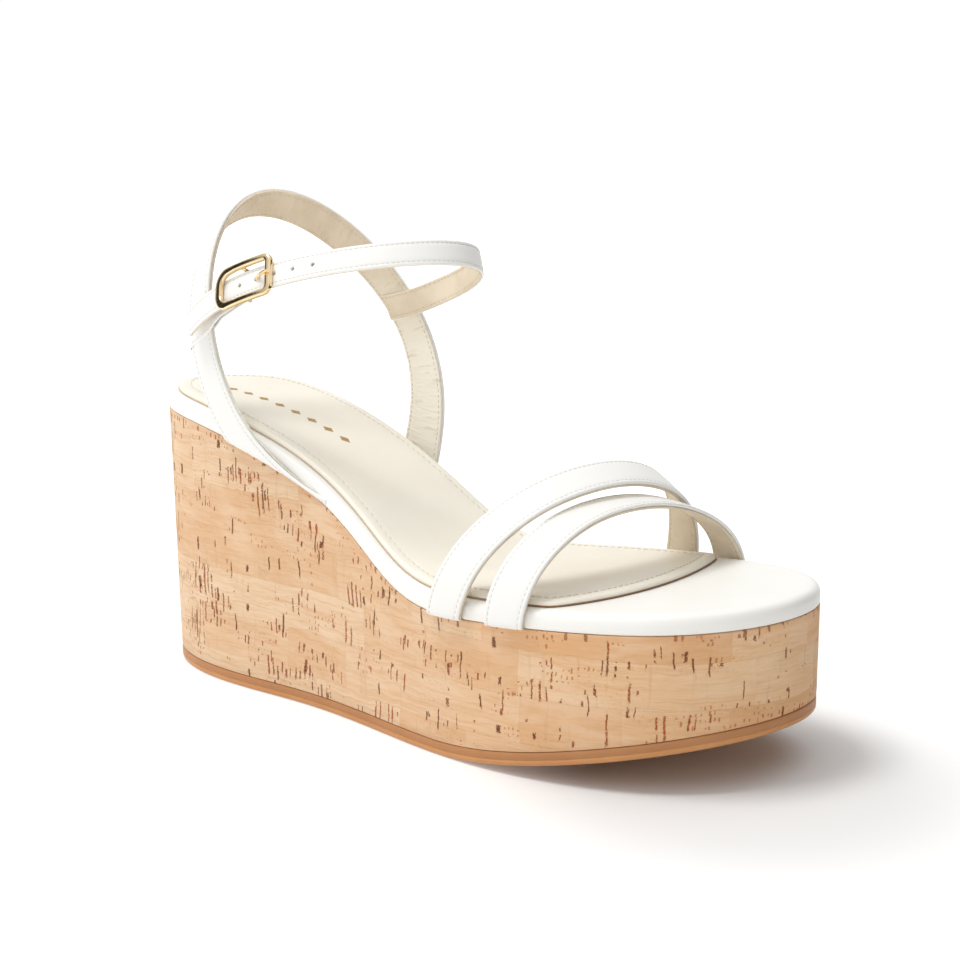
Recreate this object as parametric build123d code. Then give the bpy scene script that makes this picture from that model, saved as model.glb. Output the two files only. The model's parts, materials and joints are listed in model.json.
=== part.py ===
from build123d import *
import math
import os

import numpy as np

# Right-foot wedge sandal, EU 37. Millimetres, +X to the toe, +Y to the inner side of the foot, +Z up.
# The origin is on the floor, under the middle of the sole.

# Driving sizes of the sole unit
SOLE_LENGTH = 246.0
HEEL_X = -SOLE_LENGTH / 2
TOE_X = SOLE_LENGTH / 2
OUTSOLE_THICK = 4.5
SIDE_MARGIN = 8.0  # how far the side-view lines run past the sole
SPRING_START_X = 22.0  # the sole is flat on the floor behind this
SPRING_HEIGHT = 16.5  # rise of the tread just past the toe
HEEL_LEAN = 3.3  # the heel's back wall is this much further forward at the floor
HEEL_LEAN_ZONE = 60.0
CORK_THICK = 1.2
GLUE = 0.05  # gap that stands for a glue line

# Heights above the cork's top line
BOARD_TOP = 2.9
PLATFORM_TOP = 6.0
FOOTBED_TOP = 8.0
COVER_THICK = 1.1
RIM_ROUND = 2.6
FOOTBED_INSET = 3.6
SOCK_THICK = 0.9

# Straps: leather outside, tape, lining, in offsets from the strap's middle surface
STRAP_LAYERS = {"outer": (0.10, 1.05), "tape": (-0.20, 0.05), "lining": (-1.05, -0.25)}
ANKLE_LAYERS = {"outer": (0.10, 0.85), "tape": (-0.15, 0.05), "lining": (-0.85, -0.20)}
TAPE_MARGIN = 2.0
TAIL_LENGTH = 11.0
TAIL_LEVELS = {"outer": (0.05, 0.85), "lining": (0.90, 1.50)}
TAIL_POCKET = 1.7
FOOT_RUN = 0.03  # share of a strap's length that its route runs on past each end
TIP_HALF_THICK = 0.7

# Places along the heel loop and the ankle strap, as shares of their length
SEAM_SHARE = 0.024
ANCHOR_START, ANCHOR_END = 0.782, 0.816
TIP_SHARE = 0.64
BUCKLE_SHARE = 0.822
HOLE_PITCH = 7.0
HOLE_RADIUS = 0.7

# Buckle
BUCKLE_LENGTH = 24.0
BUCKLE_HEIGHT = 14.4
WINDOW_HEIGHT = 10.4
BUCKLE_WIRE = 2.0
BUCKLE_BOW = 90.0  # radius that the frame is bent to
FRAME_LOW, FRAME_HIGH = 1.0, 2.9
BAR_RADIUS = 0.6
BAR_DEPTH = -2.15
EAR_LENGTH = 2.6
PRONG_WIDTH = 1.3
PRONG_THICK = 1.1
TAB_HALF_WIDTH = 3.9
TAB_THICK = 0.55

# The sole's outline seen from above, from the heel along the outer side to the toe and back
OUTLINE = [
    (-123, 9.5), (-117, -5), (-103, -16.5), (-75, -24.8), (-38, -27.5), (-8, -33), (22, -40), (49, -42.7),
    (75, -40), (97, -32), (115, -15), (123, 5), (122, 22), (115, 33), (98, 42), (75, 42.7),
    (49, 40.5), (22, 35), (-8, 31), (-38, 32), (-75, 36), (-103, 33.5), (-117, 22),
]
# The cork's top line seen from the side
CORK_LINE = [
    (-123, 90.5), (-93, 89.3), (-63, 83.5), (-38, 74.7), (-13, 61),
    (5, 49.5), (17, 45.6), (35, 45), (77, 46.9), (123, 48.8),
]
# Front edge of the footbed, seen from above
FOOTBED_FRONT = [(50, -50), (74, -38), (88, -4), (83, 30), (76, 50)]

# Routes of the straps: control points of the middle line, and of the vector across the strap
VAMP_STRAP = (
    [(29, -42, 38), (33, -51.5, 73), (54.5, -18, 98.5), (78, 36.5, 89), (62.5, 51.5, 75), (62.5, 41.5, 31.5)],
    [(11.5, -0.5, -5), (13.5, -5, 0.5), (8.5, -6, -11), (12.5, 1, -2)],
)
TOE_STRAP = (
    [(52.5, -44, 42.5), (53, -48.5, 69.5), (62.5, -15.5, 90.5), (73, 28, 77.5), (80, 50, 66.5), (80.5, 44.5, 44.5)],
    [(12.5, 0.5, -2.5), (13.5, 1.5, -1), (11.5, -10.5, 0), (11.5, 0.5, -0.5)],
)
HEEL_LOOP = (
    [(-40.5, -28, 70.5), (-96, -29.5, 100.5), (-87.5, -29.5, 149), (-88.5, -13.5, 193),
     (-85.5, 19.5, 178), (-45, 35.5, 139.5), (-21.5, 37, 125.5), (-36, 33.5, 70.5)],
    [(6.5, -1.5, 11.5), (18, -2, -1.5), (10.5, -4, 2), (0.5, -2, 14.5), (3.5, -0.5, 15.5),
     (16, -2.5, 6), (15, -0.5, -4.5)],
)
ANKLE_STRAP = (
    [(-38, 32.5, 128.5), (-1.5, 33.5, 139.5), (34.5, 12, 158.5), (2.5, -27, 151),
     (-27.5, -34, 148.5), (-59.5, -35, 142.5), (-82.5, -30, 123.5)],
    [(-2.5, 1, 9), (-4.5, 2, 6.5), (-1.5, 5.5, 7.5), (-4, 3, 7)],
)

# Shank and nails
SHANK_START_X, SHANK_END_X = -75.0, 32.0
SHANK_HALF_WIDTH = 6.0
SHANK_Y = 3.0
RIVET_XS = (-64.0, 24.0)
NAIL_PLACES = [(-106, -4), (-106, 16), (-94, 6), (-82, -6), (-82, 19)]


# ---- Curves -----------------------------------------------------------------------------------


def cubic_through(knots, values, closed=False):
    """Smooth cubic curve through the values at the knots, as a function of the knot variable."""
    knots = np.array(knots, float)
    values = np.array(values, float)
    steps = np.diff(knots)
    count = len(steps)
    slopes = np.diff(values, axis=0) / steps.reshape(-1, *[1] * (values.ndim - 1))
    size = count if closed else count + 1
    matrix = np.zeros((size, size))
    right = np.zeros((size,) + values.shape[1:])
    for i in range(size):
        if not closed and i in (0, count):
            matrix[i, i] = 1
            continue
        before, after = (i - 1) % count, i % count
        matrix[i, (i - 1) % size] += steps[before]
        matrix[i, i] += 2 * (steps[before] + steps[after])
        matrix[i, (i + 1) % size] += steps[after]
        right[i] = 6 * (slopes[after] - slopes[before])
    bends = np.linalg.solve(matrix, right)
    if closed:
        bends = np.concatenate([bends, bends[:1]])

    def curve(place):
        span = int(np.clip(np.searchsorted(knots, place) - 1, 0, count - 1))
        step = steps[span]
        b = (place - knots[span]) / step
        a = 1 - b
        low, high = values[span], values[span + 1]
        return a * low + b * high + ((a**3 - a) * bends[span] + (b**3 - b) * bends[span + 1]) * step**2 / 6

    return curve


def outline_points(inset, lean=0.0, count=64):
    """Points round the sole's outline, moved inwards, with the heel's back moved forward by lean."""
    corners = np.array(OUTLINE + OUTLINE[:1], float)
    knots = np.concatenate([[0], np.cumsum(np.hypot(*np.diff(corners, axis=0).T))])
    curve = cubic_through(knots, corners, closed=True)
    points = []
    for place in np.linspace(0, knots[-1], count, endpoint=False):
        ahead = curve(place + 0.05) - curve(place)
        inward = np.array([-ahead[1], ahead[0]]) / np.hypot(*ahead)
        x, y = curve(place) + inward * inset
        share = max(0.0, 1 - (x - HEEL_X) / HEEL_LEAN_ZONE)
        points.append((x + lean * share**2, y))
    return points


CORK_CURVE = cubic_through([x for x, z in CORK_LINE], [z for x, z in CORK_LINE])


def cork_top(x):
    return float(CORK_CURVE(x))


def control_curve(points, share):
    """Point on the curve drawn by its control points, at a share of its length."""
    points = np.array(points, float)
    while len(points) > 1:
        points = points[:-1] * (1 - share) + points[1:] * share
    return points[0]


def strap_frame(route, share):
    """Middle point, vector across, direction along and outward normal of a strap."""
    line, across = route
    middle = control_curve(line, share)
    width = control_curve(across, share)
    along = control_curve(line, share + 0.002) - control_curve(line, share - 0.002)
    along /= np.linalg.norm(along)
    normal = np.cross(width, along)
    return middle, width, along, normal / np.linalg.norm(normal)


# ---- Building blocks --------------------------------------------------------------------------


def outline_wire(inset, z, lean=0.0):
    return Wire([Edge.make_spline([Vector(x, y, z) for x, y in outline_points(inset, lean)], periodic=True)])


def leaning_wall(inset):
    """Solid inside the sole's side wall, whose heel leans."""
    levels = (-2.0, 94.0)
    wires = [outline_wire(inset, z, HEEL_LEAN * (1 - z / CORK_LINE[0][1])) for z in levels]
    return Solid.make_loft(wires, ruled=True)


def upright_wall(inset):
    return extrude(Face(outline_wire(inset, 30)), 90, dir=(0, 0, 1))


def side_slab(lower, upper):
    """Slab across the whole width between two side-view lines, each a list of edges from heel to toe."""
    ends = [Edge.make_line(lower[-1] @ 1, upper[-1] @ 1), Edge.make_line(upper[0] @ 0, lower[0] @ 0)]
    face = Face(Wire(lower + upper + ends))
    return extrude(face, 70, dir=(0, 1, 0), both=True)


def tread_line(lift):
    """Side-view line of the tread: flat, then the toe spring."""
    run = (TOE_X + SIDE_MARGIN - SPRING_START_X) / 3
    heights = (0, 0, 0.85 * SPRING_HEIGHT, SPRING_HEIGHT)
    rise = [(SPRING_START_X + number * run, height) for number, height in enumerate(heights)]
    controls = [Vector(x, 0, z + lift) for x, z in rise]
    flat = Edge.make_line(Vector(HEEL_X - SIDE_MARGIN, 0, lift), controls[0])
    return [flat, Edge.make_bezier(*controls)]


def cork_edges(lift):
    """Side-view line at a height above the cork's top line."""
    places = np.linspace(HEEL_X - SIDE_MARGIN, TOE_X + SIDE_MARGIN, 31)
    return [Edge.make_spline([Vector(x, 0, cork_top(x) + lift) for x in places])]


def cork_slab(low, high):
    return side_slab(cork_edges(low), cork_edges(high))


def above_cork(lift):
    top = Edge.make_line(Vector(HEEL_X - SIDE_MARGIN, 0, 220), Vector(TOE_X + SIDE_MARGIN, 0, 220))
    return side_slab(cork_edges(lift), [top])


def upright_rod(x, y, radius, low, high):
    """Upright round rod cut to two heights above the cork's top line."""
    rod = Pos(x, y, 0) * extrude(Circle(radius), 130)
    return rod & cork_slab(low, high)


def ribbon(route, start, finish, low, high, left=-0.5, right=0.5, count=17):
    """Strap layer between two shares of its length and two offsets from its middle surface."""
    sections = []
    for share in np.linspace(start, finish, count):
        middle, width, along, normal = strap_frame(route, share)
        corners = [
            middle + width * side + normal * offset
            for side, offset in ((left, low), (right, low), (right, high), (left, high))
        ]
        sections.append(Wire.make_polygon([Vector(*corner) for corner in corners], close=True))
    return Solid.make_loft(sections, ruled=False)


def foot_places(route, at_end, offset):
    """Where the strap's two edges reach the cork's top line, on the layer at this offset."""
    places = []
    for side in (-0.5, 0.5):
        for step in range(400):
            share = 1 + FOOT_RUN - step / 400 if at_end else step / 400 - FOOT_RUN
            middle, width, along, normal = strap_frame(route, share)
            point = middle + width * side + normal * offset
            if point[2] > cork_top(point[0]):
                break
        places.append(point)
    return places


def tail_plate(route, at_end, offset, low, high, spread=0.0, reach=0.0):
    """Strap end that is tucked under the insole board, as a plate that follows the cork's top."""
    rear, front = sorted(foot_places(route, at_end, offset), key=lambda point: point[0])
    inward = -1 if rear[1] > 0 else 1
    corners = [
        (rear[0] - spread, rear[1] - inward * reach),
        (front[0] + spread, front[1] - inward * reach),
        (front[0] + spread, front[1] + inward * (TAIL_LENGTH + 2 * spread)),
        (rear[0] - spread, rear[1] + inward * (TAIL_LENGTH + 2 * spread)),
    ]
    block = extrude(make_face(Polyline(*corners, close=True)), 130)
    return block & cork_slab(low, high)


def strap_layer(route, name):
    """One layer of a strap that is lasted under the board at both ends."""
    low, high = STRAP_LAYERS[name]
    if name == "tape":
        margin = TAPE_MARGIN / 13
        body = ribbon(route, -FOOT_RUN, 1 + FOOT_RUN, low, high, -0.5 + margin, 0.5 - margin)
        return body & above_cork(TAIL_POCKET)
    level = TAIL_LEVELS[name]
    body = ribbon(route, -FOOT_RUN, 1 + FOOT_RUN, low, high) & above_cork(level[0])
    middle = (low + high) / 2
    for at_end in (False, True):
        body = body + tail_plate(route, at_end, middle, *level)
    return body


# ---- Sole unit --------------------------------------------------------------------------------


def make_outsole():
    slab = side_slab(tread_line(0), tread_line(OUTSOLE_THICK))
    return leaning_wall(0) & slab


def make_cork_wrap(side):
    """One of the two cork strips, which butt together at the heel's back and at the toe."""
    ring = leaning_wall(0) - leaning_wall(CORK_THICK)
    ring = ring & side_slab(tread_line(OUTSOLE_THICK + GLUE), cork_edges(0))
    half = Pos(0, side * (100 + GLUE), 50) * Box(400, 200, 300)
    return ring & half


def make_shank():
    strip = Pos((SHANK_START_X + SHANK_END_X) / 2, SHANK_Y, 60) * Box(
        SHANK_END_X - SHANK_START_X, 2 * SHANK_HALF_WIDTH, 120
    )
    strip = strip & cork_slab(-1.6, -0.1)
    for x in RIVET_XS:
        strip = strip - upright_rod(x, SHANK_Y, 1.55, -5, 5)
    return strip


def make_wedge_core():
    core = leaning_wall(CORK_THICK + GLUE) & side_slab(tread_line(OUTSOLE_THICK + GLUE), cork_edges(0))
    groove = Pos((SHANK_START_X + SHANK_END_X) / 2, SHANK_Y, 60) * Box(
        SHANK_END_X - SHANK_START_X + 2 * GLUE, 2 * (SHANK_HALF_WIDTH + GLUE), 120
    )
    core = core - (groove & cork_slab(-1.65, 2))
    for x, y in NAIL_PLACES:
        core = core - upright_rod(x, y, 0.92, -16.1, 2)
    return core


def tail_pockets():
    pockets = []
    for route in (VAMP_STRAP, TOE_STRAP, HEEL_LOOP):
        for at_end in (False, True):
            pockets.append(tail_plate(route, at_end, 0, -1, TAIL_POCKET, spread=1.0, reach=3))
    return pockets


def headed_places():
    return [(x, SHANK_Y, 1.5, 3.0) for x in RIVET_XS] + [(x, y, 0.9, 2.2) for x, y in NAIL_PLACES]


def make_insole_board():
    board = upright_wall(COVER_THICK + 2 * GLUE) & cork_slab(GLUE, BOARD_TOP)
    for pocket in tail_pockets():
        board = board - pocket
    for x, y, shaft, head in headed_places():
        board = board - upright_rod(x, y, shaft + GLUE, -1, 4) - upright_rod(x, y, head + GLUE, BOARD_TOP - 0.7, 4)
    return board


def make_shank_rivets():
    rivets = []
    for x in RIVET_XS:
        head = upright_rod(x, SHANK_Y, 3.0, BOARD_TOP - 0.65, BOARD_TOP - GLUE)
        rivets.append(upright_rod(x, SHANK_Y, 1.5, -1.5, BOARD_TOP - 0.5) + head)
    return Compound(rivets)


def make_heel_nails():
    nails = []
    for x, y in NAIL_PLACES:
        head = upright_rod(x, y, 2.2, BOARD_TOP - 0.65, BOARD_TOP - GLUE)
        nails.append(upright_rod(x, y, 0.9, -16, BOARD_TOP - 0.5) + head)
    return Compound(nails)


def make_platform_foam():
    return upright_wall(COVER_THICK + 2 * GLUE) & cork_slab(BOARD_TOP + GLUE, PLATFORM_TOP - COVER_THICK - GLUE)


def make_rim_cover():
    block = upright_wall(0.1) & cork_slab(GLUE, PLATFORM_TOP)
    top_edges = [edge for edge in block.edges() if abs((edge @ 0.5).Z - cork_top((edge @ 0.5).X) - PLATFORM_TOP) < 0.2]
    block = fillet(top_edges, RIM_ROUND)
    cover = block - (upright_wall(COVER_THICK) & cork_slab(-1, PLATFORM_TOP - COVER_THICK))
    for pocket in tail_pockets():
        cover = cover - pocket
    return cover


def footbed_block(inset, low, high, set_back):
    front = [Vector(x - set_back, y, 0) for x, y in FOOTBED_FRONT]
    curve = Edge.make_bezier(*front)
    lines = [
        Edge.make_line(front[-1], Vector(-140, front[-1].Y, 0)),
        Edge.make_line(Vector(-140, front[-1].Y, 0), Vector(-140, front[0].Y, 0)),
        Edge.make_line(Vector(-140, front[0].Y, 0), front[0]),
    ]
    plan = extrude(Face(Wire([curve] + lines)), 130, dir=(0, 0, 1))
    return upright_wall(inset) & plan & cork_slab(low, high)


def make_footbed_foam():
    inset = FOOTBED_INSET + SOCK_THICK
    return footbed_block(inset, PLATFORM_TOP + GLUE, FOOTBED_TOP - SOCK_THICK - GLUE, SOCK_THICK)


def make_footbed_sock():
    outside = footbed_block(FOOTBED_INSET, PLATFORM_TOP + GLUE, FOOTBED_TOP, 0)
    inset = FOOTBED_INSET + SOCK_THICK - GLUE
    return outside - footbed_block(inset, 0, FOOTBED_TOP - SOCK_THICK, SOCK_THICK - GLUE)


# ---- Buckle -----------------------------------------------------------------------------------


def buckle_plane():
    """Plane at the buckle: local X forward along the strap, Y up across it, Z outward."""
    middle, width, along, normal = strap_frame(ANKLE_STRAP, BUCKLE_SHARE)
    return Plane(origin=Vector(*middle), x_dir=Vector(*(-along)), z_dir=Vector(*normal))


def bent_shell(low, high):
    """Shell bent round the local Y axis, between two offsets from the strap's middle surface."""
    outer = Cylinder(BUCKLE_BOW + high, 30, rotation=(90, 0, 0))
    inner = Cylinder(BUCKLE_BOW + low, 32, rotation=(90, 0, 0))
    return Pos(0, 0, -BUCKLE_BOW) * (outer - inner)


def make_buckle_frame():
    half_length, half_height = BUCKLE_LENGTH / 2, BUCKLE_HEIGHT / 2
    front = RectangleRounded(BUCKLE_LENGTH, BUCKLE_HEIGHT, 2.6)
    rear = Pos(-2, 0) * RectangleRounded(BUCKLE_LENGTH - 4, BUCKLE_HEIGHT, 5.5)
    outside = (front & (Pos(half_length, 0) * Rectangle(BUCKLE_LENGTH, BUCKLE_HEIGHT))) + rear
    window_length = BUCKLE_LENGTH - 2 * BUCKLE_WIRE
    window_front = RectangleRounded(window_length, WINDOW_HEIGHT, 1.2)
    window_rear = Pos(-2, 0) * RectangleRounded(window_length - 4, WINDOW_HEIGHT, 3.8)
    window = (window_front & (Pos(half_length, 0) * Rectangle(BUCKLE_LENGTH, BUCKLE_HEIGHT))) + window_rear
    ring = Pos(0, 0, -5) * extrude(outside - window, 12) & bent_shell(FRAME_LOW, FRAME_HIGH)
    frame = ring
    for side in (-1, 1):
        depth = FRAME_LOW + 0.6 - (BAR_DEPTH - 1.15)
        ear = Pos(0, side * (half_height - 0.9), BAR_DEPTH - 1.15 + depth / 2) * Box(EAR_LENGTH, 1.5, depth)
        frame = frame + ear
    return frame - Pos(0, 0, BAR_DEPTH) * Cylinder(BAR_RADIUS + 0.03, 30, rotation=(90, 0, 0))


def make_buckle_bar():
    return Pos(0, 0, BAR_DEPTH) * Cylinder(BAR_RADIUS, BUCKLE_HEIGHT - 0.4, rotation=(90, 0, 0))


def prong_side(thick):
    """Side view of the prong without its eye: local X forward, Y outward."""
    middle = [(0.2, BAR_DEPTH), (3.2, BAR_DEPTH + 0.45), (4.9, -0.1), (6.3, 1.75), (9.4, 2.95), (12.6, 2.95)]
    shape = Pos(*middle[-1]) * Circle(thick / 2)
    for (x0, z0), (x1, z1) in zip(middle[:-1], middle[1:]):
        length = math.hypot(x1 - x0, z1 - z0)
        turn = math.degrees(math.atan2(z1 - z0, x1 - x0))
        shape += Pos((x0 + x1) / 2, (z0 + z1) / 2) * Rot(0, 0, turn) * Rectangle(length, thick)
        shape += Pos(x0, z0) * Circle(thick / 2)
    return shape


def local_extrude(shape, width):
    """Extrudes a side view, drawn with Y for outward, across the strap."""
    return Rot(90, 0, 0) * extrude(shape, width / 2, both=True)


def make_buckle_prong():
    shape = prong_side(PRONG_THICK) + Pos(0, BAR_DEPTH) * Circle(BAR_RADIUS + 0.55)
    shape = shape - Pos(0, BAR_DEPTH) * Circle(BAR_RADIUS + 0.05)
    return local_extrude(shape, PRONG_WIDTH)


def make_buckle_tab():
    inner = BAR_RADIUS + 0.08
    outer = inner + TAB_THICK
    back = -24.0
    slope = 4.0
    band = Pos(0, BAR_DEPTH) * Circle(outer)
    low = make_face(Polyline(
        (0, BAR_DEPTH - outer), (0, BAR_DEPTH - inner), (back, BAR_DEPTH - inner - slope),
        (back, BAR_DEPTH - outer - slope), close=True))
    high = make_face(Polyline(
        (0, BAR_DEPTH + inner), (0, BAR_DEPTH + outer), (back / 2, BAR_DEPTH - inner + 0.1 - slope / 2 + TAB_THICK),
        (back, BAR_DEPTH - inner + 0.1 - slope + TAB_THICK), (back, BAR_DEPTH - inner + 0.1 - slope),
        (back / 2, BAR_DEPTH - inner + 0.1 - slope / 2), close=True))
    shape = band + low + high
    shape = shape - Pos(0, BAR_DEPTH) * Circle(inner)
    tab = local_extrude(shape, 2 * TAB_HALF_WIDTH)
    tab = tab - Pos(0.5, 0, BAR_DEPTH) * Box(6.4, PRONG_WIDTH + 0.5, 5)
    return buckle_plane().location * tab - ribbon(HEEL_LOOP, 0, 0.4, -1.15, 1.15)


# ---- Ankle strap ------------------------------------------------------------------------------


def share_ahead(share, distance):
    """Share of the ankle strap that lies a distance in front of the given share."""
    place = control_curve(ANKLE_STRAP[0], share)
    travelled = 0.0
    step = -0.0005 if distance > 0 else 0.0005
    while travelled < abs(distance):
        share += step
        new = control_curve(ANKLE_STRAP[0], share)
        travelled += float(np.linalg.norm(new - place))
        place = new
    return share


def make_ankle_layer(name):
    low, high = ANKLE_LAYERS[name]
    margin = TAPE_MARGIN / 9 if name == "tape" else 0
    return ribbon(ANKLE_STRAP, SEAM_SHARE, TIP_SHARE, low, high, -0.5 + margin, 0.5 - margin)


def make_strap_tip():
    tip = ribbon(ANKLE_STRAP, TIP_SHARE + 0.0008, 1, -TIP_HALF_THICK, TIP_HALF_THICK)
    for number in (-1, 1, 2, 3):
        share = share_ahead(BUCKLE_SHARE, 5.0 + number * HOLE_PITCH)
        middle, width, along, normal = strap_frame(ANKLE_STRAP, share)
        plane = Plane(origin=Vector(*middle), x_dir=Vector(*along), z_dir=Vector(*normal))
        tip = tip - plane.location * Cylinder(HOLE_RADIUS, 6)
    clearance = local_extrude(prong_side(PRONG_THICK + 0.5), PRONG_WIDTH + 0.6)
    return tip - buckle_plane().location * clearance


def make_vamp_strap_layer(name):
    """Vamp strap layer, cut away where the toe strap crosses it on the inner side."""
    return strap_layer(VAMP_STRAP, name) - ribbon(TOE_STRAP, 0.5, 0.95, -1.3, 1.3, -0.53, 0.53)


def make_strap_anchor():
    return ribbon(HEEL_LOOP, ANCHOR_START, ANCHOR_END, -0.2, 0.45, -0.25, 0.5, count=5)


def make_heel_loop_layer(name):
    """Loop layer with the room that the sewn-in end of the ankle strap takes."""
    layer = strap_layer(HEEL_LOOP, name)
    if name == "lining":
        return layer
    return layer - ribbon(HEEL_LOOP, ANCHOR_START - 0.002, ANCHOR_END + 0.002, -0.24, 0.5, -0.27, 0.52, count=5)


def save(name, shape):
    shape.label = name
    export_step(shape, f"parts/{name}.step")


def main():
    os.makedirs("parts", exist_ok=True)
    save("outsole", make_outsole())
    save("cork_wrap_outer_side", make_cork_wrap(-1))
    save("cork_wrap_inner_side", make_cork_wrap(1))
    save("wedge_core", make_wedge_core())
    save("shank", make_shank())
    save("shank_rivets", make_shank_rivets())
    save("heel_nails", make_heel_nails())
    save("insole_board", make_insole_board())
    save("platform_foam", make_platform_foam())
    save("rim_cover", make_rim_cover())
    save("footbed_foam", make_footbed_foam())
    save("footbed_sock", make_footbed_sock())
    for layer in STRAP_LAYERS:
        save(f"vamp_strap_{layer}", make_vamp_strap_layer(layer))
        save(f"toe_strap_{layer}", strap_layer(TOE_STRAP, layer))
        save(f"heel_loop_{layer}", make_heel_loop_layer(layer))
    for layer in ANKLE_LAYERS:
        save(f"ankle_strap_{layer}", make_ankle_layer(layer))
    save("strap_tip", make_strap_tip())
    save("ankle_strap_anchor", make_strap_anchor())
    place = buckle_plane().location
    save("buckle_frame", place * make_buckle_frame())
    save("buckle_bar", place * make_buckle_bar())
    save("buckle_prong", place * make_buckle_prong())
    save("buckle_tab", make_buckle_tab())


main()
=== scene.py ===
import json
import math

import bmesh
import bpy
import numpy as np
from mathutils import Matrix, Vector

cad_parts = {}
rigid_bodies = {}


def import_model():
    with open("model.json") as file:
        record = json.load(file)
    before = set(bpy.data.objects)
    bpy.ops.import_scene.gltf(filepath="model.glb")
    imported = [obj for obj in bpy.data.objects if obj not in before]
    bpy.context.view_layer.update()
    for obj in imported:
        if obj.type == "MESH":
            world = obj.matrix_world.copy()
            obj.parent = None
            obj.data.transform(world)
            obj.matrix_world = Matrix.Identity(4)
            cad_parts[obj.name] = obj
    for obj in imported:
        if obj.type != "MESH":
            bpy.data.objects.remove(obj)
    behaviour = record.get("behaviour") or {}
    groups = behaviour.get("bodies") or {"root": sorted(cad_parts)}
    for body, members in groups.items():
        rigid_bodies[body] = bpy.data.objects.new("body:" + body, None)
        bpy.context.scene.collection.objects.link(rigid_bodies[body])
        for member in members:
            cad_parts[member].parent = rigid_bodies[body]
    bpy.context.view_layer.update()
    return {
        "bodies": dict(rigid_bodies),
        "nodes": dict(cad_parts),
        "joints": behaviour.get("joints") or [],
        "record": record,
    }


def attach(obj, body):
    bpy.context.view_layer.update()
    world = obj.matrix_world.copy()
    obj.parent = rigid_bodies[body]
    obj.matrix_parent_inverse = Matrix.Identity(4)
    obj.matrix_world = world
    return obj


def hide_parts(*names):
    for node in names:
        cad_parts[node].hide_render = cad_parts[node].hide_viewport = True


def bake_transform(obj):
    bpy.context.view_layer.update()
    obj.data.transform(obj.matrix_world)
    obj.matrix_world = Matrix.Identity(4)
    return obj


# Looks of the wedge sandal. Shapes are worked out in millimetres in the row's frame and turned to metres
# when a mesh is made: +X to the toe, +Y to the inner side of the foot, +Z up.

MM = 0.001

# Sole unit, with the same driving values as the solid model
HEEL_X, TOE_X = -123.0, 123.0
OUTSOLE_THICK = 4.5
SPRING_START_X, SPRING_RUN_END, SPRING_HEIGHT = 22.0, 131.0, 16.5
HEEL_LEAN, HEEL_LEAN_ZONE = 3.3, 60.0
FOOTBED_TOP = 8.0
FOOTBED_INSET = 3.6
OUTLINE = [
    (-123, 9.5), (-117, -5), (-103, -16.5), (-75, -24.8), (-38, -27.5), (-8, -33), (22, -40), (49, -42.7),
    (75, -40), (97, -32), (115, -15), (123, 5), (122, 22), (115, 33), (98, 42), (75, 42.7),
    (49, 40.5), (22, 35), (-8, 31), (-38, 32), (-75, 36), (-103, 33.5), (-117, 22),
]
CORK_LINE = [
    (-123, 90.5), (-93, 89.3), (-63, 83.5), (-38, 74.7), (-13, 61),
    (5, 49.5), (17, 45.6), (35, 45), (77, 46.9), (123, 48.8),
]
FOOTBED_FRONT = [(50, -50), (74, -38), (88, -4), (83, 30), (76, 50)]

# Straps: control points of the middle line, and of the vector across
VAMP_STRAP = (
    [(29, -42, 38), (33, -51.5, 73), (54.5, -18, 98.5), (78, 36.5, 89), (62.5, 51.5, 75), (62.5, 41.5, 31.5)],
    [(11.5, -0.5, -5), (13.5, -5, 0.5), (8.5, -6, -11), (12.5, 1, -2)],
)
TOE_STRAP = (
    [(52.5, -44, 42.5), (53, -48.5, 69.5), (62.5, -15.5, 90.5), (73, 28, 77.5), (80, 50, 66.5),
     (80.5, 44.5, 44.5)],
    [(12.5, 0.5, -2.5), (13.5, 1.5, -1), (11.5, -10.5, 0), (11.5, 0.5, -0.5)],
)
HEEL_LOOP = (
    [(-40.5, -28, 70.5), (-96, -29.5, 100.5), (-87.5, -29.5, 149), (-88.5, -13.5, 193),
     (-85.5, 19.5, 178), (-45, 35.5, 139.5), (-21.5, 37, 125.5), (-36, 33.5, 70.5)],
    [(6.5, -1.5, 11.5), (18, -2, -1.5), (10.5, -4, 2), (0.5, -2, 14.5), (3.5, -0.5, 15.5),
     (16, -2.5, 6), (15, -0.5, -4.5)],
)
ANKLE_STRAP = (
    [(-38, 32.5, 128.5), (-1.5, 33.5, 139.5), (34.5, 12, 158.5), (2.5, -27, 151),
     (-27.5, -34, 148.5), (-59.5, -35, 142.5), (-82.5, -30, 123.5)],
    [(-2.5, 1, 9), (-4.5, 2, 6.5), (-1.5, 5.5, 7.5), (-4, 3, 7)],
)
SEAM_SHARE = 0.024
FIXED_END_SHARE = -0.037
LOOP_SEAM = 0.80
BUCKLE_SHARE = 0.822
HOLE_PITCH = 7.0
HOLE_RADIUS = 0.7

# Buckle
BUCKLE_LENGTH, BUCKLE_HEIGHT, BUCKLE_WIRE = 24.0, 14.4, 2.0
BUCKLE_BOW = 90.0
FRAME_LOW, FRAME_HIGH = 1.0, 2.9
BAR_RADIUS, BAR_DEPTH = 0.6, -2.15
TAB_HALF_WIDTH, TAB_THICK = 3.9, 0.55

RING_POINTS = 360

# Camera, solved from the sandal's outline: metres, degrees, and a lens in mm on a 36 mm sensor
CAMERA_TARGET = (0.0, 0.0198, 0.0725)
CAMERA_AZIMUTH, CAMERA_ELEVATION, CAMERA_DISTANCE = 34.7, 11.9, 0.600
CAMERA_LENS = 67.6


# ---- Curves -----------------------------------------------------------------------------------


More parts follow.
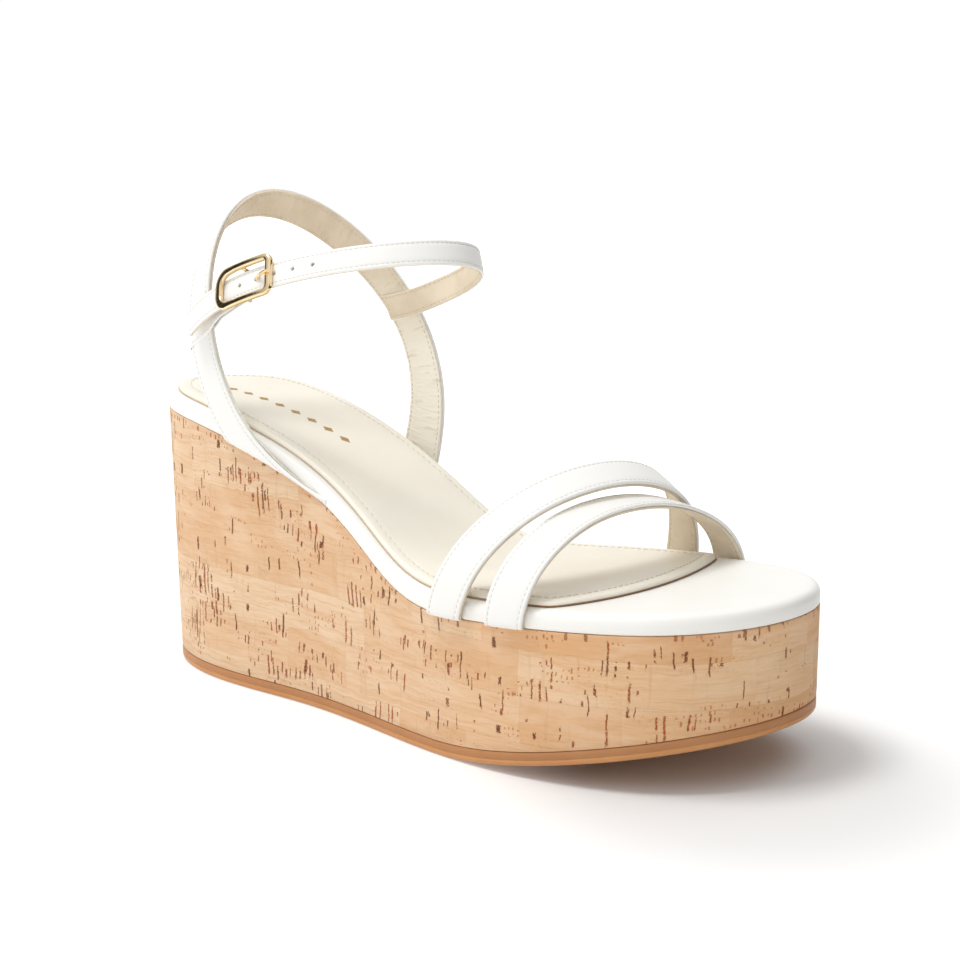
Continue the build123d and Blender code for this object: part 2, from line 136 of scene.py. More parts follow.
def cubic_through(knots, values, closed=False):
    """Smooth cubic curve through the values at the knots, for an array of places."""
    knots = np.array(knots, float)
    values = np.array(values, float).reshape(len(knots), -1)
    steps = np.diff(knots)
    count = len(steps)
    slopes = np.diff(values, axis=0) / steps[:, None]
    size = count if closed else count + 1
    matrix = np.zeros((size, size))
    right = np.zeros((size, values.shape[1]))
    for i in range(size):
        if not closed and i in (0, count):
            matrix[i, i] = 1
            continue
        before, after = (i - 1) % count, i % count
        matrix[i, (i - 1) % size] += steps[before]
        matrix[i, i] += 2 * (steps[before] + steps[after])
        matrix[i, (i + 1) % size] += steps[after]
        right[i] = 6 * (slopes[after] - slopes[before])
    bends = np.linalg.solve(matrix, right)
    if closed:
        bends = np.concatenate([bends, bends[:1]])

    def curve(places):
        places = np.atleast_1d(np.asarray(places, float))
        span = np.clip(np.searchsorted(knots, places) - 1, 0, count - 1)
        step = steps[span][:, None]
        b = (places - knots[span])[:, None] / step
        a = 1 - b
        bent = ((a**3 - a) * bends[span] + (b**3 - b) * bends[span + 1]) * step**2 / 6
        return a * values[span] + b * values[span + 1] + bent

    return curve


CORK_CURVE = cubic_through([x for x, z in CORK_LINE], [z for x, z in CORK_LINE])


def cork_top(x):
    return CORK_CURVE(x)[:, 0]


def tread(x):
    """Height of the tread: flat, then the toe spring."""
    share = np.clip((np.asarray(x, float) - SPRING_START_X) / (SPRING_RUN_END - SPRING_START_X), 0, 1)
    return SPRING_HEIGHT * (3 * 0.85 * share**2 * (1 - share) + share**3)


def unit(vectors):
    return vectors / np.linalg.norm(vectors, axis=-1, keepdims=True)


def running_length(line):
    """Distance from the start of a flat line to each of its points."""
    return np.concatenate([[0], np.cumsum(np.hypot(*np.diff(line, axis=0).T))])


def outline_base():
    """Points round the sole's outline at even steps, their inward directions and their places along it."""
    corners = np.array(OUTLINE + OUTLINE[:1], float)
    knots = running_length(corners)
    curve = cubic_through(knots, corners, closed=True)
    places = np.linspace(0, knots[-1], RING_POINTS, endpoint=False)
    points = curve(places)
    ahead = unit(curve(places + 0.05) - points)
    return points, np.stack([-ahead[:, 1], ahead[:, 0]], 1), places


BASE, INWARD, PLACES = outline_base()


def outline(inset, lean=0.0):
    points = BASE + INWARD * inset
    share = np.clip(1 - (points[:, 0] - HEEL_X) / HEEL_LEAN_ZONE, 0, None)
    points[:, 0] += lean * share**2
    return points


def lean_at(z):
    return HEEL_LEAN * (1 - z / CORK_LINE[0][1])


def spine_y(x):
    """Middle of the sole's width at a distance along it."""
    split = int(np.argmax(BASE[:, 0]))
    outer, inner = BASE[: split + 1], BASE[split:][::-1]
    return (np.interp(x, outer[:, 0], outer[:, 1]) + np.interp(x, inner[:, 0], inner[:, 1])) / 2


def bezier(points, shares):
    points = np.array(points, float)[None].repeat(len(shares), 0)
    shares = np.asarray(shares, float)[:, None, None]
    while points.shape[1] > 1:
        points = points[:, :-1] * (1 - shares) + points[:, 1:] * shares
    return points[:, 0]


class Strip:
    """Frames along a strap at even steps: middle, across, along, outward normal, half width and distance."""

    def __init__(self, route, start, finish, step=0.8):
        line, across = route
        fine = np.linspace(start, finish, 1200)
        each_step = np.linalg.norm(np.diff(bezier(line, fine), axis=0), axis=1)
        travelled = np.concatenate([[0], np.cumsum(each_step)])
        count = int(travelled[-1] / step) + 1
        self.distance = np.linspace(0, travelled[-1], count)
        self.shares = np.interp(self.distance, travelled, fine)
        self.middle = bezier(line, self.shares)
        width = bezier(across, self.shares)
        self.along = unit(bezier(line, self.shares + 0.002) - bezier(line, self.shares - 0.002))
        self.normal = unit(np.cross(width, self.along))
        self.half = np.linalg.norm(width, axis=1) / 2
        self.across = unit(width)

    def at(self, distance, side, inset, height):
        """Points at distances along, on a share of the half width less an inset, at a height."""
        place = lambda values: np.stack([np.interp(distance, self.distance, v) for v in values.T], 1)
        half = np.interp(distance, self.distance, self.half)
        offset = side * (half - inset)
        return place(self.middle) + place(self.across) * offset[:, None] + place(self.normal) * height


# ---- Meshes -----------------------------------------------------------------------------------


def build(name, points, faces, material, flow=None, close=True):
    """Makes a smooth mesh object. Flow is a place on the surface in mm, for materials with a direction."""
    mesh = bpy.data.meshes.new(name)
    mesh.from_pydata((np.asarray(points, float) * MM).tolist(), [], [list(map(int, f)) for f in faces])
    if flow is not None:
        layer = mesh.attributes.new("flow", "FLOAT_VECTOR", "POINT")
        layer.data.foreach_set("vector", np.asarray(flow, np.float32).ravel())
    if close:
        work = bmesh.new()
        work.from_mesh(mesh)
        bmesh.ops.recalc_face_normals(work, faces=work.faces)
        work.to_mesh(mesh)
        work.free()
    mesh.shade_smooth()
    mesh.materials.append(material)
    piece = bpy.data.objects.new(name, mesh)
    bpy.context.scene.collection.objects.link(piece)
    return piece


def ring_faces(rings, count, closed=True):
    faces = []
    last = count if closed else count - 1
    for ring in range(rings - 1):
        for i in range(last):
            j = (i + 1) % count
            low, high = ring * count, (ring + 1) * count
            faces.append((low + i, low + j, high + j, high + i))
    return faces


def end_caps(rings, count):
    """Faces that close the first and the last of some stacked rings."""
    return [tuple(range(count))[::-1], tuple(range((rings - 1) * count, rings * count))]


def closing_faces(rings, count):
    """Faces that join the last of some rings back to the first."""
    last = (rings - 1) * count
    return [(last + i, last + (i + 1) % count, (i + 1) % count, i) for i in range(count)]


def squared_ring(corners, half_width, half_height, width_power, height_power):
    """Closed section between an ellipse and a rectangle: a lower power is squarer."""
    ring = []
    for angle in np.linspace(0, 2 * math.pi, corners, endpoint=False):
        c, s = math.cos(angle), math.sin(angle)
        ring.append((math.copysign(abs(c) ** width_power, c) * half_width,
                     math.copysign(abs(s) ** height_power, s) * half_height))
    return ring


def zip_chains(points, first, second):
    """Triangles between two chains of points that both run forwards in X."""
    faces = []
    i = j = 0
    while i < len(first) - 1 or j < len(second) - 1:
        step_first = j == len(second) - 1 or (
            i < len(first) - 1 and points[first[i + 1]][0] <= points[second[j + 1]][0]
        )
        if step_first:
            if len({first[i], first[i + 1], second[j]}) == 3:
                faces.append((first[i], first[i + 1], second[j]))
            i += 1
        else:
            if len({first[i], second[j + 1], second[j]}) == 3:
                faces.append((first[i], second[j + 1], second[j]))
            j += 1
    return faces


def fill_ring(points, start, count):
    """Closes a thin ring, from its rearmost point along both sides to its foremost one."""
    ring = np.array(points[start:start + count])
    rear, fore = int(np.argmin(ring[:, 0])), int(np.argmax(ring[:, 0]))
    one, two = [rear], [rear]
    while one[-1] != fore:
        one.append((one[-1] + 1) % count)
    while two[-1] != fore:
        two.append((two[-1] - 1) % count)
    return zip_chains(points, [start + k for k in one], [start + k for k in two])


def stacked(rings):
    """Points and faces of rings that are stacked and closed at both ends."""
    count = len(rings[0])
    points = [tuple(p) for ring in rings for p in ring]
    faces = ring_faces(len(rings), count)
    faces += fill_ring(points, 0, count)
    faces += fill_ring(points, (len(rings) - 1) * count, count)
    return points, faces


def toward_spine(plan, share):
    target_x = np.clip(plan[:, 0], HEEL_X + 27, TOE_X - 42)
    target = np.stack([target_x, spine_y(target_x)], 1)
    return plan + (target - plan) * share


def swept(strip, section, wave=None):
    """Points, faces and flow of a closed section of (side, inset, height) carried along a strip."""
    count = len(section)
    stations = len(strip.distance)
    points = np.zeros((stations, count, 3))
    flow = np.zeros((stations, count, 3))
    for k, (side, inset, height) in enumerate(section):
        lift = height if wave is None else height + wave
        offset = side * np.maximum(strip.half - inset, 0)
        raised = strip.normal * np.broadcast_to(lift, stations)[:, None]
        points[:, k] = strip.middle + strip.across * offset[:, None] + raised
        flow[:, k] = np.stack([strip.distance, offset, np.full(stations, height)], 1)
    faces = ring_faces(stations, count)
    faces += end_caps(stations, count)
    return points.reshape(-1, 3), faces, flow.reshape(-1, 3)


def leather_section(low, high, groove=1.35, crown=0.10, steps=7):
    """Section of a leather strap with rolled edges and a sewn line near each edge."""
    radius = (high - low) / 2
    middle = (high + low) / 2
    right = [
        (1, radius - radius * math.cos(angle), middle + radius * math.sin(angle))
        for angle in np.linspace(-math.pi / 2, math.pi / 2, steps)
    ]
    top = [(1, groove - 0.42, high + 0.03), (1, groove - 0.16, high - 0.05), (1, groove, high - 0.10),
           (1, groove + 0.16, high - 0.05), (1, groove + 0.45, high + 0.04)]
    half_top = right + top
    mirrored = [(-side, inset, height) for side, inset, height in half_top[::-1]]
    middle_points = [(share, 0, high + 0.04 + crown * (1 - share**2))
                     for share in (0.55, 0.28, 0, -0.28, -0.55)]
    return half_top + middle_points + mirrored


def lining_section(low, high, inset=0.22, steps=5):
    """Section of a flat lining, whose inner face is at low."""
    radius = (high - low) * 0.42
    corner = []
    for angle in np.linspace(0, math.pi / 2, steps):
        corner.append((1, inset + radius - radius * math.cos(angle), low + radius - radius * math.sin(angle)))
    right = [(1, inset, high)] + corner + [(1, 1.0, low), (1, 1.35, low + 0.09), (1, 1.7, low)]
    middle_points = [(share, 0, low) for share in (0.5, 0, -0.5)]
    return right + middle_points + [(-side, gap, height) for side, gap, height in right[::-1]]


def stitch_row(strip, side, inset, height, pitch, length, radius, start=0.0, finish=None, sink=0.12, seed=1):
    """Points and faces of a row of short threads that dip into the leather at both ends."""
    random = np.random.RandomState(seed)
    finish = strip.distance[-1] if finish is None else finish
    centres = np.arange(start + pitch, finish - pitch, pitch)
    centres = centres + random.uniform(-0.04, 0.04, len(centres)) * pitch
    profile = [(-0.5, -1.0, 0.25), (-0.40, -0.35, 0.8), (-0.2, 0.0, 1.0), (0, 0.08, 1.05), (0.2, 0.0, 1.0),
               (0.40, -0.35, 0.8), (0.5, -1.0, 0.25)]
    corners = 6
    points, faces = [], []
    base = strip.at(centres, side, inset, 0.0)
    normal = unit(strip.at(centres, side, inset, 1.0) - base)
    ahead = unit(strip.at(centres + 0.3, side, inset, 0.0) - strip.at(centres - 0.3, side, inset, 0.0))
    across = unit(np.cross(normal, ahead))
    for k in range(len(centres)):
        first = len(points)
        for along, dip, size in profile:
            middle = base[k] + ahead[k] * along * length + normal[k] * (height + dip * sink)
            for corner in range(corners):
                turn = 2 * math.pi * corner / corners
                outward = across[k] * math.cos(turn) + normal[k] * math.sin(turn)
                points.append(middle + outward * radius * size)
        faces += [tuple(first + v for v in face) for face in ring_faces(len(profile), corners)]
        faces.append(tuple(first + v for v in range(corners))[::-1])
        end = first + (len(profile) - 1) * corners
        faces.append(tuple(end + v for v in range(corners)))
    return points, faces


def join_parts(parts):
    points, faces = [], []
    for some_points, some_faces in parts:
        shift = len(points)
        points += [tuple(p) for p in some_points]
        faces += [tuple(v + shift for v in face) for face in some_faces]
    return points, faces


def tuck_under(points, radius):
    """Turns the foot of a strap in under the platform's edge at the cork's top line."""
    points = np.array(points)
    height = points[:, 2] - cork_top(points[:, 0])
    nearest = ((points[:, None, :2] - BASE[None]) ** 2).sum(2).argmin(1)
    inward = INWARD[nearest]
    past = np.clip(radius - height, 0, None)
    angle = np.minimum(past / radius, math.pi / 2)
    flat = np.maximum(past - radius * math.pi / 2, 0)
    low = past > 0
    shift = radius * (1 - np.cos(angle)) + flat
    points[:, :2] += inward * (shift * low)[:, None]
    points[low, 2] = cork_top(points[low, 0]) + radius * (1 - np.sin(angle[low]))
    return points


# ---- Node materials ---------------------------------------------------------------------------


class Shade:
    """Small helper that builds a procedural material."""

    def __init__(self, name):
        self.material = bpy.data.materials.new(name)
        self.material.use_nodes = True
        self.tree = self.material.node_tree
        self.tree.nodes.clear()
        self.bsdf = self.tree.nodes.new("ShaderNodeBsdfPrincipled")
        self.output = self.tree.nodes.new("ShaderNodeOutputMaterial")
        self.tree.links.new(self.bsdf.outputs[0], self.output.inputs[0])

    def node(self, kind, out=0, **inputs):
        settings = inputs.pop("settings", {})
        made = self.tree.nodes.new("ShaderNode" + kind)
        for key, value in settings.items():
            setattr(made, key, value)
        for key, value in inputs.items():
            name = int(key[1:]) if key[0] == "i" and key[1:].isdigit() else key.replace("_", " ")
            socket = made.inputs[name]
            if isinstance(value, bpy.types.NodeSocket):
                self.tree.links.new(value, socket)
            else:
                socket.default_value = value
        return made.outputs[out]

    def place(self):
        """Place on the object in mm."""
        return self.scale(self.node("TexCoord", 3), (1000, 1000, 1000))

    def flow(self):
        return self.node("Attribute", 1, settings={"attribute_name": "flow"})

    def scale(self, vector, factors):
        return self.node("VectorMath", i0=vector, i1=factors, settings={"operation": "MULTIPLY"})

    def shift(self, vector, other):
        return self.node("VectorMath", i0=vector, i1=other, settings={"operation": "ADD"})

    def math(self, operation, a, b=0.0):
        return self.node("Math", i0=a, i1=b, settings={"operation": operation})

    def plus(self, a, b):
        return self.math("ADD", a, b)

    def minus(self, a, b):
        return self.math("SUBTRACT", a, b)

    def times(self, a, b):
        return self.math("MULTIPLY", a, b)

    def over(self, a, b):
        return self.math("DIVIDE", a, b)

    def most(self, a, b):
        return self.math("MAXIMUM", a, b)

    def floor(self, a):
        return self.math("FLOOR", a)

    def fraction(self, a):
        return self.math("FRACT", a)

    def sine(self, a):
        return self.math("SINE", a)

    def split(self, vector):
        made = self.tree.nodes.new("ShaderNodeSeparateXYZ")
        self.tree.links.new(vector, made.inputs[0])
        return made.outputs

    def combine(self, x=0.0, y=0.0, z=0.0):
        return self.node("CombineXYZ", X=x, Y=y, Z=z)

    def noise(self, vector, scale=1.0, detail=2.0, rough=0.5):
        return self.node("TexNoise", Vector=vector, Scale=scale, Detail=detail, Roughness=rough)

    def cells(self, vector, scale):
        return self.node("TexVoronoi", Vector=vector, Scale=scale)

    def chance(self, vector):
        return self.node("TexWhiteNoise", Vector=vector)

    def band(self, value, low, high, to_low=0.0, to_high=1.0):
        return self.node("MapRange", i0=value, i1=low, i2=high, i3=to_low, i4=to_high,
                         settings={"interpolation_type": "SMOOTHSTEP"})

    def mix(self, share, first, second, mode="MIX"):
        made = self.tree.nodes.new("ShaderNodeMix")
        made.data_type = "RGBA"
        made.blend_type = mode
        for socket, value in ((made.inputs[0], share), (made.inputs[6], first), (made.inputs[7], second)):
            if isinstance(value, bpy.types.NodeSocket):
                self.tree.links.new(value, socket)
            elif isinstance(value, (int, float)):
                socket.default_value = value
            else:
                socket.default_value = (*value, 1.0)
        return made.outputs[2]

    def bump(self, height, distance, strength=1.0, under=None):
        made = self.tree.nodes.new("ShaderNodeBump")
        made.inputs["Strength"].default_value = strength
        made.inputs["Distance"].default_value = distance
        self.tree.links.new(height, made.inputs["Height"])
        if under is not None:
            self.tree.links.new(under, made.inputs["Normal"])
        return made.outputs[0]

    def finish(self, color, rough, normal=None, **constants):
        for name, value in (("Base Color", color), ("Roughness", rough), ("Normal", normal)):
            if value is None:
                continue
            if isinstance(value, bpy.types.NodeSocket):
                self.tree.links.new(value, self.bsdf.inputs[name])
            else:
                self.bsdf.inputs[name].default_value = value if isinstance(value, float) else (*value, 1.0)
        for name, value in constants.items():
            self.bsdf.inputs[name.replace("_", " ")].default_value = value
        return self.material


def leather(name, color, tint, rough=0.45, grain=0.025, mottle=0.5, specular=0.4):
    """Smooth leather with a fine pebble, faint pores and slow changes of tone."""
    s = Shade(name)
    place = s.place()
    slow = s.noise(place, 0.045, 3.0, 0.55)
    fine = s.noise(place, 1.3, 3.0, 0.6)
    drift = s.scale(s.node("TexNoise", 1, Vector=place, Scale=0.9), (0.8, 0.8, 0.8))
    cells = s.cells(s.shift(place, drift), 1.9)
    share = s.times(s.band(slow, 0.35, 0.7), mottle)
    base = s.mix(share, color, tint)
    base = s.mix(s.band(fine, 0.55, 0.8, 0.0, 0.12), base, [c * 0.86 for c in tint])
    height = s.plus(s.times(cells, 0.6), s.times(fine, 0.5))
    wide = s.bump(s.noise(place, 0.16, 2.0, 0.5), 0.00025, 0.35)
    normal = s.bump(height, grain * MM * 3, 0.30, wide)
    roughness = s.band(s.noise(place, 0.35, 3.0, 0.6), 0.3, 0.7, rough - 0.05, rough + 0.07)
    return s.finish(base, roughness, normal, Specular_IOR_Level=specular)


def lining(name, color, tint, wrinkle=0.0, painted_light_low_color=None):
    """Beige lining leather with a matt nap, cross wrinkles where a strap bends with painted shade darkening
    their folds, and a paler lower part that is painted light.
    """
    s = Shade(name)
    place = s.place()
    flow = s.flow()
    nap = s.noise(place, 2.2, 4.0, 0.65)
    slow = s.noise(place, 0.09, 3.0, 0.6)
    along = s.noise(s.scale(flow, (0.55, 0.10, 0.1)), 1.0, 3.0, 0.6)
    base = s.mix(s.band(slow, 0.35, 0.7), color, tint)
    # painted light: paler towards the bottom, from 150 mm down to 105 mm, standing in for light on the lower
    # part
    if painted_light_low_color:
        base = s.mix(s.band(s.split(place)[2], 150.0, 105.0), base, painted_light_low_color)
    # painted shade: the lining is darkened along its folds, more where the wrinkles are strong
    crease_shade = s.band(along, 0.56, 0.72)
    base = s.mix(s.times(crease_shade, 0.10 + 0.25 * wrinkle), base, [c * 0.72 for c in tint])
    base = s.mix(s.band(nap, 0.5, 0.8, 0.0, 0.18), base, [min(1.0, c * 1.06) for c in color])
    normal = s.bump(along, 0.0006, 0.15 + 0.75 * wrinkle)
    normal = s.bump(nap, 0.00012, 0.35, normal)
    return s.finish(base, s.band(nap, 0.3, 0.7, 0.58, 0.72), normal, Specular_IOR_Level=0.3)


def cork_marks(s, u, v, rag, area, pitch, size, share, seed):
    """Ragged upright marks: at most one in each cell of a grid, in the areas where they are common."""
    columns = s.over(u, pitch[0])
    column = s.floor(columns)
    group = s.floor(s.over(columns, 5.0))
    levels = s.plus(s.over(v, pitch[1]), s.times(s.chance(s.combine(group, seed, 0.5)), 7.0))
    level = s.floor(levels)
    r, g, b = s.split(s.node("TexWhiteNoise", 1, Vector=s.combine(column, level, seed)))
    drawn = s.chance(s.combine(level, column, seed + 4.3))
    du = s.plus(s.minus(s.fraction(columns), 0.5), s.times(s.minus(r, 0.5), 0.5))
    dv = s.plus(s.minus(s.fraction(levels), 0.5), s.times(s.minus(g, 0.5), 0.3))
    du = s.plus(s.times(du, pitch[0]), s.times(rag, size[0] * 3.6))
    dv = s.plus(s.times(dv, pitch[1]), s.times(rag, size[1] * 1.6))
    wide = s.over(s.math("ABSOLUTE", du), s.times(s.plus(0.55, s.times(b, 0.8)), size[0]))
    tall = s.over(s.math("ABSOLUTE", dv), s.times(s.plus(0.35, s.times(r, 0.9)), size[1]))
    far = s.most(wide, tall)
    there = s.math("LESS_THAN", drawn, s.times(area, share))
    return s.times(s.band(far, 1.08, 0.85), there)


def cork():
    """Cork veneer laid in level bands of blocks, with wavy growth lines, reddish streaks and dark pits."""
    s = Shade("cork_veneer")
    flow = s.flow()
    wobble = s.node("TexNoise", 1, Vector=s.scale(flow, (0.05, 0.07, 0.05)), Scale=1.0, Detail=3.0)
    bent = s.shift(flow, s.scale(wobble, (3.0, 2.4, 0.0)))
    u, v, _ = s.split(bent)
    straight_u, _, depth = s.split(flow)
    raised = s.over(s.plus(v, 2.6), 14.6)
    row = s.floor(raised)
    row_chance = s.chance(s.combine(row, 3.7, 1.1))
    run = s.plus(s.over(u, 47.0), s.times(row_chance, 9.0))
    uneven = s.sine(s.plus(s.times(run, 2.3), s.times(row, 2.1)))
    run = s.plus(run, s.times(uneven, 0.33))
    block = s.floor(run)
    tone = s.chance(s.combine(row, block, 5.3))
    habit = s.chance(s.combine(row, block, 9.9))
    # tone of each block, and wavy level growth lines
    grown = s.plus(v, s.times(s.noise(s.scale(flow, (0.10, 0.16, 0.1)), 1.0, 3.0, 0.5), 3.0))
    lines = s.noise(s.combine(s.times(u, 0.035), s.times(grown, 0.85), s.times(tone, 40.0)), 1.0, 5.0, 0.65)
    hair = s.noise(s.combine(s.times(u, 0.10), s.times(grown, 2.8), s.times(tone, 20.0)), 1.0, 3.0, 0.6)
    soft = s.noise(s.scale(flow, (0.05, 0.10, 0.1)), 1.0, 3.0, 0.6)
    base = s.mix(s.band(tone, 0.15, 0.85), (0.770, 0.568, 0.385), (0.708, 0.463, 0.278))
    front = s.band(s.split(s.place())[0], 10.0, 75.0)
    base = s.mix(s.times(front, 0.9), base, (1.0, 0.885, 0.755), "MULTIPLY")
    base = s.mix(s.band(lines, 0.42, 0.66, 0.0, 0.48), base, (0.640, 0.360, 0.180))
    base = s.mix(s.band(hair, 0.48, 0.70, 0.0, 0.36), base, (0.540, 0.300, 0.150))
    base = s.mix(s.band(soft, 0.42, 0.70, 0.0, 0.40), base, (0.820, 0.633, 0.448))
    # stippled areas of the cork's cells, and faint upright bands across them
    speck = s.noise(s.scale(flow, (1.5, 1.2, 1.0)), 1.0, 4.0, 0.75)
    speck_area = s.band(s.noise(s.scale(flow, (0.04, 0.06, 0.1)), 1.0, 3.0, 0.6), 0.50, 0.64)
    specks = s.times(s.band(speck, 0.55, 0.68), speck_area)
    base = s.mix(s.times(specks, 0.36), base, (0.360, 0.200, 0.120))
    upright = s.noise(s.combine(s.times(u, 0.55), s.times(v, 0.035), s.times(habit, 11.0)), 1.0, 2.0, 0.5)
    base = s.mix(s.band(upright, 0.60, 0.74, 0.0, 0.26), base, (0.520, 0.320, 0.170))
    # upright streaks in clusters, wider dark pits, and short ticks in rows
    rag = s.minus(s.noise(s.scale(flow, (1.5, 0.8, 1.0)), 1.0, 5.0, 0.8), 0.5)
    area = s.noise(s.shift(s.scale(flow, (0.055, 0.060, 0.1)), (7.0, 3.0, 0.0)), 1.0, 2.0, 0.5)
    area = s.band(area, 0.49, 0.58)
    area = s.times(area, s.band(habit, 0.10, 0.55, 0.25, 1.0))
    area = s.times(area, s.band(front, 0.0, 1.0, 1.0, 0.6))
    streaks = cork_marks(s, u, v, rag, area, (2.1, 11.5), (0.30, 4.4), 0.80, 1.7)
    streaks = s.most(streaks, cork_marks(s, s.plus(u, 1.0), v, rag, area, (3.3, 8.0), (0.42, 2.4), 0.45, 5.1))
    even = s.band(s.noise(s.scale(flow, (0.03, 0.03, 0.1)), 1.0, 2.0, 0.5), 0.30, 0.70, 0.5, 1.0)
    even = s.times(even, s.band(front, 0.0, 1.0, 1.0, 0.35))
    pits = cork_marks(s, u, v, rag, even, (11.5, 13.0), (0.58, 1.9), 0.32, 8.3)
    pits = s.most(pits, cork_marks(s, u, v, rag, even, (7.5, 10.5), (0.30, 2.8), 0.34, 11.9))
    tick_area = s.noise(s.shift(s.scale(flow, (0.06, 0.07, 0.1)), (2.0, 9.0, 0.0)), 1.0, 2.0, 0.5)
    tick_area = s.band(tick_area, 0.58, 0.66)
    ticks = cork_marks(s, u, v, rag, tick_area, (1.6, 2.1), (0.30, 0.60), 0.75, 14.2)
    red = s.chance(s.combine(s.floor(s.over(u, 4.2)), row, 6.6))
    broken = s.band(s.noise(s.scale(flow, (1.1, 1.9, 1.0)), 1.0, 3.0, 0.7), 0.36, 0.46)
    streaks = s.times(streaks, broken)
    stain = s.mix(s.band(red, 0.25, 0.75), (0.330, 0.058, 0.008), (0.165, 0.032, 0.005))
    halo = s.times(s.band(s.noise(s.scale(flow, (0.7, 0.28, 1.0)), 1.0, 2.0, 0.6), 0.54, 0.70), area)
    base = s.mix(s.times(halo, 0.48), base, (0.560, 0.210, 0.065))
    base = s.mix(s.times(ticks, 0.70), base, (0.430, 0.130, 0.045))
    base = s.mix(s.times(streaks, s.band(speck, 0.35, 0.60, 1.0, 0.75)), base, stain)
    base = s.mix(s.times(pits, s.band(speck, 0.35, 0.60, 1.0, 0.75)), base, (0.120, 0.024, 0.004))
    # seams between blocks
    across = s.fraction(raised)
    level_seam = s.most(s.band(across, 0.016, 0.0), s.band(across, 0.984, 1.0))
    upright_seam = s.band(s.fraction(run), 0.007, 0.0)
    seams = s.times(s.most(level_seam, upright_seam), s.band(speck, 0.35, 0.65, 0.05, 0.30))
    base = s.mix(seams, base, (0.400, 0.215, 0.110))
    # the thin strip along the top edge, with its own short marks
    strip = s.band(depth, 2.3, 1.9)
    top_marks = cork_marks(s, straight_u, depth, rag, 1.0, (2.6, 4.2), (0.38, 1.5), 0.42, 21.4)
    base = s.mix(s.times(strip, 0.25), base, (0.640, 0.370, 0.200))
    base = s.mix(s.times(s.times(top_marks, strip), 0.8), base, (0.330, 0.110, 0.050))
    dark = s.most(pits, streaks)
    height = s.minus(s.times(lines, 0.20), s.times(dark, 0.9))
    height = s.minus(height, s.times(seams, 0.6))
    height = s.minus(height, s.times(specks, 0.25))
    normal = s.bump(height, 0.0004, 0.55)
    rough = s.mix(dark, (0.6, 0.6, 0.6), (0.9, 0.9, 0.9))
    return s.finish(base, rough, normal, Specular_IOR_Level=0.08)


def rubber():
    """Tan sole rubber: a duller upper band, a warmer lower band, and a tread of fine furrows underneath,
    darkened as painted shade.
    """
    s = Shade("sole_rubber")
    place = s.place()
    x, y, _ = s.split(place)
    height = s.split(s.flow())[2]
    grain = s.noise(place, 1.7, 3.0, 0.6)
    slow = s.noise(place, 0.06, 2.0, 0.5)
    upper = s.mix(s.band(slow, 0.35, 0.7), (0.450, 0.200, 0.075), (0.480, 0.220, 0.085))
    lower = s.mix(s.band(slow, 0.35, 0.7), (0.560, 0.255, 0.090), (0.600, 0.285, 0.105))
    base = s.mix(s.band(height, 1.75, 2.15), lower, upper)
    base = s.mix(s.band(grain, 0.5, 0.75, 0.0, 0.12), base, (0.330, 0.180, 0.090))
    tread_lines = s.sine(s.plus(s.times(x, 1.9), s.times(s.sine(s.times(y, 0.55)), 1.3)))
    under = s.band(height, 0.12, 0.0)
    groove_relief_and_shade = s.times(s.band(tread_lines, 0.25, 0.6), under)
    relief = s.minus(s.times(grain, 0.12), groove_relief_and_shade)
    normal = s.bump(relief, 0.0006, 0.6)
    # painted shade: the tread's furrows are darkened
    base = s.mix(s.times(groove_relief_and_shade, 0.4), base, (0.240, 0.130, 0.065))
    return s.finish(base, s.band(grain, 0.3, 0.7, 0.42, 0.55), normal, Specular_IOR_Level=0.4)


def gold():
    """Polished pale gold plating with faint polishing marks."""
    s = Shade("pale_gold")
    place = s.place()
    marks = s.noise(s.scale(place, (0.6, 4.0, 4.0)), 1.0, 3.0, 0.6)
    slow = s.noise(place, 0.25, 2.0, 0.5)
    base = s.mix(s.band(slow, 0.3, 0.7), (0.880, 0.700, 0.440), (0.830, 0.630, 0.360))
    normal = s.bump(marks, 0.00002, 0.25)
    return s.finish(base, s.band(marks, 0.3, 0.7, 0.10, 0.17), normal, Metallic=1.0)


def thread(name, color):
    s = Shade(name)
    place = s.place()
    twist = s.node("TexWave", 0, Vector=place, Scale=1.4, Distortion=1.5)
    base = s.mix(s.band(twist, 0.2, 0.8), color, [c * 0.8 for c in color])
    return s.finish(base, 0.6, s.bump(twist, 0.00004, 0.4), Specular_IOR_Level=0.3)


def plain(name, color, tint, rough, scale, bump, metallic=0.0):
    """Speckled material for the pieces inside the sole and the straps."""
    s = Shade(name)
    place = s.place()
    grain = s.noise(place, scale, 4.0, 0.65)
    base = s.mix(s.band(grain, 0.35, 0.65), color, tint)
    roughness = s.band(grain, 0.3, 0.7, rough - 0.06, rough + 0.06)
    return s.finish(base, roughness, s.bump(grain, bump, 0.5), Metallic=metallic)


def cut_edge_and_front_shade():
    """Cut edge under the footbed's cover: pale along the sides and at the heel, and brown in front as painted
    shade.
    """
    s = Shade("raw_edge")
    place = s.place()
    grain = s.noise(place, 2.0, 4.0, 0.65)
    # painted shade: the brown stands in for the shade along the front of the edge
    brown = s.mix(s.band(grain, 0.35, 0.65), (0.270, 0.160, 0.085), (0.210, 0.115, 0.055))
    pale = s.mix(s.band(grain, 0.35, 0.65), (0.620, 0.510, 0.380), (0.520, 0.400, 0.280))
    base = s.mix(s.band(s.split(place)[0], 15.0, 62.0), pale, brown)
    return s.finish(base, 0.8, s.bump(grain, 0.0001, 0.5))


def woven(name, color):
    s = Shade(name)
    x, y, z = s.split(s.place())
    one = s.sine(s.times(s.plus(x, z), 9.0))
    two = s.sine(s.times(s.minus(y, z), 9.0))
    cloth = s.times(one, two)
    base = s.mix(s.band(cloth, -0.5, 0.5), color, [c * 0.82 for c in color])
    return s.finish(base, 0.85, s.bump(cloth, 0.0001, 0.5))


